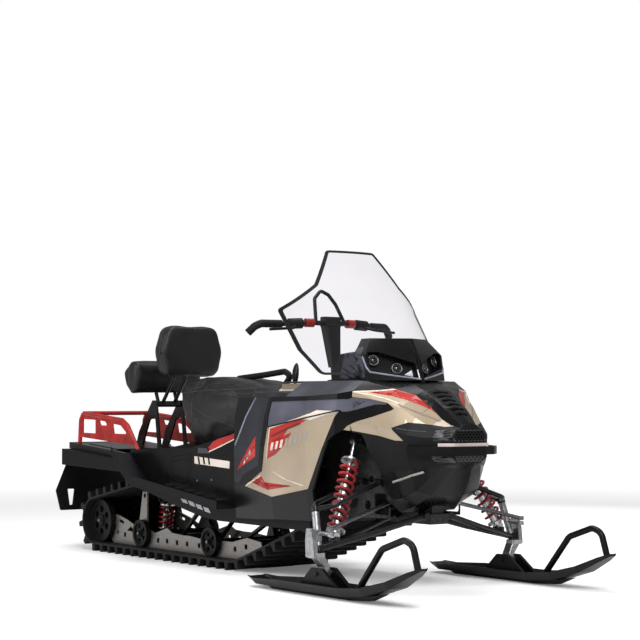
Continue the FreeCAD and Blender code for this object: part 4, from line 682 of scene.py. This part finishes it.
class SNOWMOBILE_OT_finishes(bpy.types.Operator):
    """Give every CAD piece its finish"""

    bl_idname = "snowmobile.finishes"
    bl_label = "Finishes"

    def execute(self, context):
        for node, finish in NODE_FINISH.items():
            piece = NODES[node]
            for slot in piece.material_slots:
                slot.material = materials()[finish]
            if not piece.material_slots:
                piece.data.materials.append(materials()[finish])
        return {"FINISHED"}


class SNOWMOBILE_OT_shell(bpy.types.Operator):
    """Round the creases of the moulded nose"""

    bl_idname = "snowmobile.shell"
    bl_label = "Nose shell"

    def execute(self, context):
        softened("belly_pan", "Belly_shell", "black", 11.0)
        softened("hood", "Hood_shell", "black", 7.0)
        softened("cheeks", "Cheek_shell", "gold", 3.0)
        return {"FINISHED"}


class SNOWMOBILE_OT_seat(bpy.types.Operator):
    """Make the long crowned seat"""

    bl_idname = "snowmobile.seat"
    bl_label = "Seat"

    def execute(self, context):
        soft = context.scene.snowmobile_soft
        seat = copy_node("seat", "Saddle_cushion")
        relax(stuffed(seat, soft.voxel * SEAT_COARSER, soft.pressure, soft.swell), SEAT_RELAX)
        for panel in SEAT_PANELS:
            raise_panel(seat, *panel, PANEL_RISE)
        smooth(seat, 60)
        finish_piece(seat, "vinyl", "root")
        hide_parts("seat")
        return {"FINISHED"}


class SNOWMOBILE_OT_backrests(bpy.types.Operator):
    """Make both padded backrests"""

    bl_idname = "snowmobile.backrests"
    bl_label = "Backrests"

    def execute(self, context):
        soft = context.scene.snowmobile_soft
        for side in ("front", "rear"):
            pad = copy_node(f"{side}_backrest_pad", f"{side.title()}_backrest_cushion")
            relax(stuffed(pad, soft.voxel, soft.pressure, soft.swell * PAD_SWELL), PAD_RELAX)
            smooth(pad, 60)
            finish_piece(pad, "vinyl", f"{side}_backrest")
            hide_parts(f"{side}_backrest_pad")
        return {"FINISHED"}


class SNOWMOBILE_OT_graphics(bpy.types.Operator):
    """Lay the stripes and colours on the side panels, cheeks, columns and covers"""

    bl_idname = "snowmobile.graphics"
    bl_label = "Graphics"

    def execute(self, context):
        self.dress_sides()
        self.dress_columns()
        self.dress_cheeks()
        self.dress_covers()
        return {"FINISHED"}

    @staticmethod
    def dress_sides():
        """Red blocks with darker strokes, pale edges, a row of bars, a painted highlight on a crease and
        painted shade in a recess, on the gold side panels.
        """
        panel = ["side_panels"]
        above = ["side_panels", "upper_panels"]
        patch("Side_stripe_upper", above,
              [(432, 638), (636, 681), (689, 675), (521, 624), (427, 599)], "film_red")
        patch("Side_stripe_lower", panel,
              [(422, 579), (589, 626), (548, 580), (476, 533), (400, 507)], "film_red")
        patch("Side_stripe_join", panel, [(427, 601), (560, 636), (520, 598), (422, 577)], "film_red")
        stripe("Side_stripe_shade", panel, [(440, 606), (560, 641), (650, 664)], 9, "film_dark", lift=0.9)
        patch("Side_tail_stripe", panel, [(248, 411), (344, 441), (377, 412), (398, 380)], "film_red")
        patch("Side_tail_point", panel, [(377, 412), (582, 404), (398, 380)], "film_red")
        stripe("Side_tail_shade", panel, [(300, 422), (392, 397), (560, 403)], 5, "film_dark", lift=0.9)
        stripe("Side_pinstripe", above, [(400, 499), (431, 642), (636, 684), (700, 700)], 6, "film_pale",
               lift=0.8)
        stripe("Side_tail_pinstripe", panel, [(205, 389), (256, 407), (344, 438)], 6, "film_pale", lift=0.8)
        patch("Side_top_stripe", above, [(652, 686), (751, 718), (880, 715), (715, 678)], "film_pale")
        # painted shade: a greyer, darker line down the panel's recess
        stripe("Side_recess_shade", panel, [(690, 668), (880, 706)], 5, "film_grey_print_and_painted_light", lift=0.6)
        # painted highlight: a light gold line where the panel's crease catches the light
        stripe("Side_crease_highlight", panel, [(441, 460), (540, 428), (657, 409)], 4, "film_gold_highlight", lift=0.6)
        bars("Side_bar", panel, (436, 546), (34, 6.8), [(0, 0), (17, 3), (27, 36), (10, 33)],
             ["film_pale"] * 3 + ["film_grey_print_and_painted_light"] * 5, 0.9)

    @staticmethod
    def dress_columns():
        """Red wedge with three short bars, and a pale blue painted highlight along the front edge, on the
        footwell columns.
        """
        column = ["footwell_columns"]
        patch("Column_stripe", column, [(308, 605), (308, 518), (139, 453), (173, 492)], "film_red")
        stripe("Column_stripe_shade", column, [(300, 560), (180, 478)], 7, "film_dark", lift=0.9)
        bars("Column_bar", column, (196, 492), (26, 20), [(0, 0), (16, 12), (20, 0), (4, -12)],
             ["film_pale"] * 3, 0.9)
        # painted highlight: a pale blue-grey band where the column's shiny edge catches the light
        stripe("Column_edge_highlight", column, [(280, 775), (121, 562)], 10, "film_blue")

    @staticmethod
    def dress_cheeks():
        """Red band under the hood's edge, and the lit and shaded folds of the gold cheeks."""
        cheek = ["Cheek_shell"]
        patch("Cheek_red_rear", cheek,
              [(948, 797), (1000, 801), (1041, 806), (1041, 776), (1000, 784)], "film_red")
        upper = [(1041, 806), (1095, 800), (1155, 745), (1235, 690)]
        lower = [(1041, 776), (1095, 757), (1155, 724), (1235, 669)]
        for index, run in enumerate(zip(upper, upper[1:], lower[1:], lower)):
            patch(f"Cheek_red_{index}", cheek, list(run), "film_red")
        # painted highlight: a light gold line along the cheek's crease
        stripe("Cheek_crease_highlight", cheek, [(935, 790), (988, 778), (1029, 766), (1080, 745)], 4, "film_gold_highlight",
               lift=0.7)
        stripe("Cheek_edge", cheek, [(929, 791), (1000, 796), (1036, 802), (1093, 796)], 5, "film_pale",
               lift=0.9)
        stripe("Cheek_fold", cheek, [(1080, 742), (1140, 712), (1208, 676)], 3.5, "film_shade", lift=0.7)

    @staticmethod
    def dress_covers():
        """Pale tape, red accent and door joints on the tunnel's covers, and bright rungs on the tunnel."""
        cover = ["tunnel_covers"]
        patch("Cover_tape", cover, [(-264, 503), (26, 488), (24, 456), (-262, 470)], "film_pale")
        bars("Cover_tape_bar", cover, (-236, 0), (42, 0), [(0, 501), (14, 500), (22, 468), (8, 469)],
             ["shadow"] * 3, 0.8)
        accent = [(-158, 538), (-109, 571), (130, 658), (138, 628), (107, 601), (-36, 559), (-142, 525)]
        patch("Saddle_accent_low", cover, accent, "film_red")
        stripe("Saddle_accent_edge", cover, [(-142, 526), (-36, 556), (107, 600)], 5, "film_pale", lift=0.9)
        patch("Saddle_accent", ["Saddle_cushion"],
              [(-293, 559), (-42, 647), (-29, 622), (-74, 597), (-284, 538)], "film_red", lift=1.0)
        stripe("Tank_edge", ["tank_cover"], [(236, 801), (529, 801)], 7, "film_pale", lift=0.6)
        stripe("Cover_wedge", cover, [(-234, 530), (-142, 530)], 24, "charcoal")
        stripe("Door_panel", cover, [(-440, 478), (-312, 492), (-325, 386), (-436, 390), (-440, 478)], 3,
               "shadow")
        bars("Tunnel_rung", ["tunnel"], (-404, 309), (64, -11), [(0, 0), (46, -5), (66, -27), (20, -21)],
             ["alloy"] * 4, 0.8)
        stripe("Door_edge", cover, [(-462, 494), (-289, 513), (-307, 364), (-456, 372), (-462, 494)], 5,
               "shadow")


class SNOWMOBILE_OT_lamps(bpy.types.Operator):
    """Make the lamps' bezels and lenses, the lip under them and the light on the ridge"""

    bl_idname = "snowmobile.lamps"
    bl_label = "Lamps"

    def execute(self, context):
        for index, (x, y, z) in enumerate(LAMPS):
            axis = Vector((1.0, math.copysign(LAMP_OUT, y), LAMP_UP)).normalized()
            turn = axis.to_track_quat("Z", "Y").to_euler()
            at = (Vector((x, y, z)) + axis * LAMP_AHEAD) * MM
            bpy.ops.object.select_all(action="DESELECT")
            bpy.ops.mesh.primitive_torus_add(major_segments=40, minor_segments=10, location=at, rotation=turn,
                                             major_radius=BEZEL[0] * MM, minor_radius=BEZEL[1] * MM)
            bezel = smooth(settled(f"Lamp_bezel_{index}"), 60)
            finish_piece(bezel, "rod", "root")
            bpy.ops.object.select_all(action="DESELECT")
            bpy.ops.mesh.primitive_uv_sphere_add(segments=28, ring_count=14, radius=PROJECTOR * MM,
                                                 location=at, rotation=turn, scale=(1.0, 1.0, 0.5))
            projector = smooth(settled(f"Lamp_projector_{index}"), 60)
            finish_piece(projector, "lens", "root")
        for name, side in SIDES:
            lip = [(x + 1, side * y, z) for x, y, z in LAMP_LIP]
            bead = tube_piece(f"Lamp_lip_{name}", lip, 4.0, smooth_path=False)
            finish_piece(bead, "film_blue", "root")
        housing = ["headlamp_pod"]
        for name, side in (("Ridge_light", 1), ("Ridge_light_left", -1)):
            patch(name, housing, [(side * 9.5, 845), (side * 9.5, 884), (side * 46, 862)], "film_white",
                  "front", 0.8)
        patch("Housing_cheek", housing,
              [(700, 845), (884, 845), (880, 877), (860, 940), (845, 975), (735, 960), (722, 916)],
              "charcoal", lift=0.8)
        # painted shade: dark stripes stand for slits in the housing's side
        shaded_slits = [[(722, 890), (850, 848)], [(722, 872), (793, 848)], [(773, 902), (853, 864)],
                [(760, 956), (760, 936)]]
        for index, shaded_slit in enumerate(shaded_slits):
            stripe(f"Housing_rib_{index}", housing, shaded_slit, 5, "shadow", lift=1.2)
        return {"FINISHED"}


class SNOWMOBILE_OT_seams(bpy.types.Operator):
    """Sew the seams and piping on the seat and the backrests"""

    bl_idname = "snowmobile.seams"
    bl_label = "Seams"

    def execute(self, context):
        piping_round("Saddle_cushion", "Saddle_side_seam", (-309, 0, 690), (0.31, 0.0, 1.0), 1.5)
        piping_round("Saddle_cushion", "Saddle_top_piping", (-200, 0, 806), (-0.03, 0.0, 1.0), 2.2)
        piping_round("Saddle_cushion", "Saddle_cross_seam", (-455, 0, 800), (1.0, 0.0, 0.25), 1.3)
        seat = bpy.data.objects["Saddle_cushion"]
        turns = [step * math.tau / 30 for step in range(30)]
        for index, (x, z, half_x, half_z) in enumerate(SEAT_PANELS):
            for name, side in SIDES:
                ring = [(x + half_x * math.cos(turn), side * SEAT_SIDE, z + half_z * math.sin(turn))
                        for turn in turns]
                sewn = tube_piece(f"Saddle_panel_seam_{index}_{name}", on_surface(seat, ring, 0.2), 1.5,
                                  cyclic=True)
                finish_piece(sewn, "piping", "root")
        for pad, half_depth in (("Front", 12), ("Rear", 8)):
            cushion = f"{pad}_backrest_cushion"
            low, high = piece_box(bpy.data.objects[cushion])
            middle = (low + high) / 2 / MM
            for edge, x in (("front", middle.x + half_depth), ("back", middle.x - half_depth)):
                piping_round(cushion, f"{pad}_pad_{edge}_piping", (x, 0, middle.z), (1.0, 0.0, 0.12), 2.0,
                             f"{pad.lower()}_backrest")
        return {"FINISHED"}


class SNOWMOBILE_OT_grilles(bpy.types.Operator):
    """Lay the fine mesh in the nose's openings over a dark plate of painted shade, paint a highlight on the
    belly, and mark the nose's seam
    """

    bl_idname = "snowmobile.grilles"
    bl_label = "Grilles"

    def execute(self, context):
        nose = ["fascia"]
        # painted highlight: a pale grey line on the black belly shell
        stripe("Belly_highlight", ["Belly_shell"], [(1066, 434), (1111, 447), (1192, 477)], 8, "film_grey_print_and_painted_light",
               lift=0.6)
        patch("Nose_side_mesh", nose, [(1226, 640), (1285, 640), (1285, 598), (1232, 598)], "grille")
        patch("Nose_front_mesh", nose, [(-112, 642), (112, 642), (104, 598), (-104, 598)], "grille", "front")
        patch("Nose_low_mesh", nose, [(1222, 540), (1285, 540), (1285, 514), (1236, 512)], "grille")
        patch("Nose_low_front_mesh", nose, [(-78, 540), (78, 540), (70, 516), (-70, 516)], "grille", "front")
        stripe("Nose_seam", nose, [(1108, 648), (1150, 641), (1204, 634)], 3, "charcoal")
        # a near-black plate behind the openings stands for the shade inside the nose
        bpy.ops.object.select_all(action="DESELECT")
        bpy.ops.mesh.primitive_cube_add(size=MM, location=(1.279, 0.0, 0.618), scale=(2.0, 150.0, 42.0))
        screen = settled("Nose_shade_plate")
        modified(screen, "BEVEL", width=0.6 * MM)
        finish_piece(screen, "shadow", "root")
        patch("Arch_mesh", ["upper_panels"], [(932, 752), (974, 753), (932, 728)], "grille", lift=0.8)
        return {"FINISHED"}


class SNOWMOBILE_OT_fins(bpy.types.Operator):
    """Stand a leaning fin on each side of the console"""

    bl_idname = "snowmobile.fins"
    bl_label = "Console fins"

    def execute(self, context):
        x, z = FIN_MIDDLE
        for name, side in SIDES:
            y = side * FIN_OUT * MM
            bpy.ops.object.select_all(action="DESELECT")
            bpy.ops.mesh.primitive_uv_sphere_add(segments=28, ring_count=16, radius=MM,
                                                 location=(x * MM, y, z * MM), scale=FIN_HALF)
            fin = settled(f"Console_fin_{name}")
            # leans forward towards its top, and is thicker at its foot
            for vertex in fin.data.vertices:
                rise = (vertex.co.z / MM - FIN_FOOT) / FIN_HEIGHT
                vertex.co.x += FIN_LEAN * MM * rise * rise
                vertex.co.y = y + (vertex.co.y - y) * (1.25 - 0.5 * rise)
            smooth(fin, 60)
            finish_piece(fin, "black", "root")
        return {"FINISHED"}


class SNOWMOBILE_OT_fasteners(bpy.types.Operator):
    """Set the bolts of the wheels and the screws of the tunnel's covers"""

    bl_idname = "snowmobile.fasteners"
    bl_label = "Fasteners"

    def execute(self, context):
        for name, side in SIDES:
            outward = (0.0, side, 0.0)
            for index, (x, z, across) in enumerate(WHEEL_BOLTS):
                bolt(f"Wheel_bolt_{name}_{index}", (x, side * WHEEL_FACE, z), outward, across)
            for index, (x, z) in enumerate(COVER_SCREWS):
                bolt(f"Cover_screw_{name}_{index}", (x, side * COVER_FACE, z), outward, 9)
        return {"FINISHED"}


class SNOWMOBILE_OT_stage(bpy.types.Operator):
    """Set the pale floor, the soft lights and the camera"""

    bl_idname = "snowmobile.stage"
    bl_label = "Stage"

    def execute(self, context):
        settings = context.scene.snowmobile_stage
        self.floor(settings)
        self.room(settings)
        self.lamp("Key_softbox", (3.6, -2.2, 3.6), 2.6, settings.key_power)
        self.lamp("Fill_softbox", (-1.5, -4.2, 2.0), 2.4, settings.key_power * 0.45)
        self.lamp("Top_softbox", (-0.2, 0.2, 4.6), 3.4, settings.key_power * 0.8)
        self.lamp("Back_softbox", (-1.8, 3.6, 2.4), 2.4, settings.key_power * 0.3, mirrored=False)
        self.camera(settings)
        context.scene.view_settings.view_transform = "Standard"
        return {"FINISHED"}

    @staticmethod
    def seen_directly(tree):
        """1 where the eye sees a surface straight or through the clear screen, else 0."""
        paths = add_node(tree, "ShaderNodeLightPath")
        reach = add_node(tree, "ShaderNodeMath", {"operation": "MAXIMUM"},
                         {0: paths.outputs["Is Camera Ray"], 1: paths.outputs["Is Transmission Ray"]})
        return reach.outputs["Value"]

    def floor(self, settings):
        """Pale paper whose own glow takes over from 3 to 9 m out, so it has no horizon."""
        bpy.ops.object.select_all(action="DESELECT")
        bpy.ops.mesh.primitive_circle_add(vertices=96, radius=settings.floor_radius, fill_type="NGON",
                                          location=(0.0, 0.0, 0.0))
        floor = bpy.context.active_object
        floor.name = "Studio_floor"
        material, tree, shader = new_material("Pale studio floor")
        tree.nodes.remove(shader)
        output = next(item for item in tree.nodes if item.type == "OUTPUT_MATERIAL")
        paper = add_node(tree, "ShaderNodeBsdfDiffuse", sockets={"Color": linear("#f7f7f7")})
        place = add_node(tree, "ShaderNodeTexCoord").outputs["Object"]
        far = add_node(tree, "ShaderNodeVectorMath", {"operation": "LENGTH"}, {0: place}).outputs["Value"]
        share = add_node(tree, "ShaderNodeMapRange", {"interpolation_type": "SMOOTHSTEP"}, {
            "Value": far, "From Min": 3.0, "From Max": 9.0, "To Min": 0.14, "To Max": 0.72})
        strength = add_node(tree, "ShaderNodeMath", {"operation": "MULTIPLY"},
                            {0: self.seen_directly(tree), 1: share.outputs["Result"]}).outputs["Value"]
        glow = add_node(tree, "ShaderNodeEmission", sockets={
            "Color": linear("#ffffff"), "Strength": strength})
        both = add_node(tree, "ShaderNodeAddShader", sockets={
            0: paper.outputs["BSDF"], 1: glow.outputs["Emission"]})
        tree.links.new(both.outputs["Shader"], output.inputs["Surface"])
        floor.data.materials.append(material)

    def room(self, settings):
        """White room: seen white, and lighting the machine less than it is seen."""
        world = bpy.data.worlds.new("Soft studio")
        world.use_nodes = True
        tree = world.node_tree
        tree.nodes.clear()
        strength = remap(tree, self.seen_directly(tree), settings.world_strength, 1.0)
        sky = add_node(tree, "ShaderNodeBackground", sockets={
            "Color": linear("#ffffff"), "Strength": strength})
        add_node(tree, "ShaderNodeOutputWorld", sockets={"Surface": sky.outputs["Background"]})
        bpy.context.scene.world = world

    @staticmethod
    def lamp(name, place, size, power, mirrored=True):
        """Round softbox aimed at the machine; one that isn't mirrored leaves no reflection on it."""
        data = bpy.data.lights.new(name, "AREA")
        data.shape = "DISK"
        data.size = size
        data.energy = power
        lamp = bpy.data.objects.new(name, data)
        bpy.context.scene.collection.objects.link(lamp)
        lamp.location = place
        lamp.visible_glossy = mirrored
        aim = Vector((0.0, 0.0, 0.5)) - Vector(place)
        lamp.rotation_mode = "QUATERNION"
        lamp.rotation_quaternion = aim.to_track_quat("-Z", "Y")

    @staticmethod
    def camera(settings):
        """Camera where the photograph was taken from, low and ahead on the machine's right."""
        data = bpy.data.cameras.new("Photo_camera")
        data.lens = settings.lens
        data.sensor_width = 36.0
        data.clip_end = 200.0
        camera = bpy.data.objects.new("Photo_camera", data)
        bpy.context.scene.collection.objects.link(camera)
        azimuth = math.radians(settings.azimuth)
        pitch = math.radians(settings.pitch)
        forward = Vector((-math.sin(azimuth) * math.cos(pitch), math.cos(azimuth) * math.cos(pitch),
                          math.sin(pitch)))
        camera.location = settings.camera_place
        camera.rotation_mode = "QUATERNION"
        camera.rotation_quaternion = forward.to_track_quat("-Z", "Y")
        bpy.context.scene.camera = camera


# Settings


class PaintSettings(bpy.types.PropertyGroup):
    """Colours of the main finishes, as sRGB hex values"""

    gold: bpy.props.StringProperty(name="Gold", description="Paint of the side panels", default="#b5a38b")
    red: bpy.props.StringProperty(name="Red", description="Powder coat of the rack", default="#b4241c")
    black: bpy.props.StringProperty(name="Black", description="Moulded body plastic", default="#101012")
    charcoal: bpy.props.StringProperty(name="Charcoal", description="Grey body plastic", default="#44454e")


class SoftSettings(bpy.types.PropertyGroup):
    """How the seat and the backrests are stuffed"""

    voxel: bpy.props.FloatProperty(name="Voxel", description="Grain of the soft meshes, mm", default=6.0)
    pressure: bpy.props.FloatProperty(name="Pressure", description="Stuffing pressure", default=4.0)
    swell: bpy.props.FloatProperty(name="Swell", description="Furthest that the vinyl swells, mm",
                                   default=10.0)


class StageSettings(bpy.types.PropertyGroup):
    """Floor, light and camera"""

    floor_radius: bpy.props.FloatProperty(name="Floor radius", description="Pale floor", default=60.0,
                                          unit="LENGTH")
    key_power: bpy.props.FloatProperty(name="Key power", description="Power of the key softbox",
                                       default=165.0, unit="POWER")
    world_strength: bpy.props.FloatProperty(name="World", description="Light of the white room", default=0.34)
    lens: bpy.props.FloatProperty(name="Lens", description="Focal length on a 36 mm sensor", default=94.34,
                                  unit="CAMERA")
    azimuth: bpy.props.FloatProperty(name="Azimuth", description="Camera round the machine, degrees",
                                     default=53.2275)
    pitch: bpy.props.FloatProperty(name="Pitch", description="Camera upwards, degrees", default=2.7169)
    camera_place: bpy.props.FloatVectorProperty(name="Camera", description="Place of the camera", size=3,
                                                default=(6.2223, -4.4212, 0.7608), subtype="XYZ_LENGTH")


class SNOWMOBILE_PT_panel(bpy.types.Panel):
    """Lists what dresses the snowmobile"""

    bl_idname = "SNOWMOBILE_PT_panel"
    bl_label = "Snowmobile"
    bl_space_type = "VIEW_3D"
    bl_region_type = "UI"
    bl_category = "Snowmobile"

    def draw(self, context):
        for operator in OPERATORS:
            self.layout.operator(operator.bl_idname)


OPERATORS = (
    SNOWMOBILE_OT_finishes,
    SNOWMOBILE_OT_shell,
    SNOWMOBILE_OT_seat,
    SNOWMOBILE_OT_backrests,
    SNOWMOBILE_OT_graphics,
    SNOWMOBILE_OT_lamps,
    SNOWMOBILE_OT_seams,
    SNOWMOBILE_OT_grilles,
    SNOWMOBILE_OT_fins,
    SNOWMOBILE_OT_fasteners,
    SNOWMOBILE_OT_stage,
)
SETTINGS = (PaintSettings, SoftSettings, StageSettings)


def register():
    for item in (*SETTINGS, *OPERATORS, SNOWMOBILE_PT_panel):
        bpy.utils.register_class(item)
    bpy.types.Scene.snowmobile_paint = bpy.props.PointerProperty(type=PaintSettings)
    bpy.types.Scene.snowmobile_soft = bpy.props.PointerProperty(type=SoftSettings)
    bpy.types.Scene.snowmobile_stage = bpy.props.PointerProperty(type=StageSettings)


def unregister():
    del bpy.types.Scene.snowmobile_paint
    del bpy.types.Scene.snowmobile_soft
    del bpy.types.Scene.snowmobile_stage
    for item in reversed((*SETTINGS, *OPERATORS, SNOWMOBILE_PT_panel)):
        bpy.utils.unregister_class(item)


def main():
    register()
    bpy.ops.snowmobile.finishes()
    bpy.ops.snowmobile.shell()
    bpy.ops.snowmobile.seat()
    bpy.ops.snowmobile.backrests()
    bpy.ops.snowmobile.graphics()
    bpy.ops.snowmobile.lamps()
    bpy.ops.snowmobile.seams()
    bpy.ops.snowmobile.grilles()
    bpy.ops.snowmobile.fins()
    bpy.ops.snowmobile.fasteners()
    bpy.ops.snowmobile.stage()


if __name__ == "__main__":
    main()
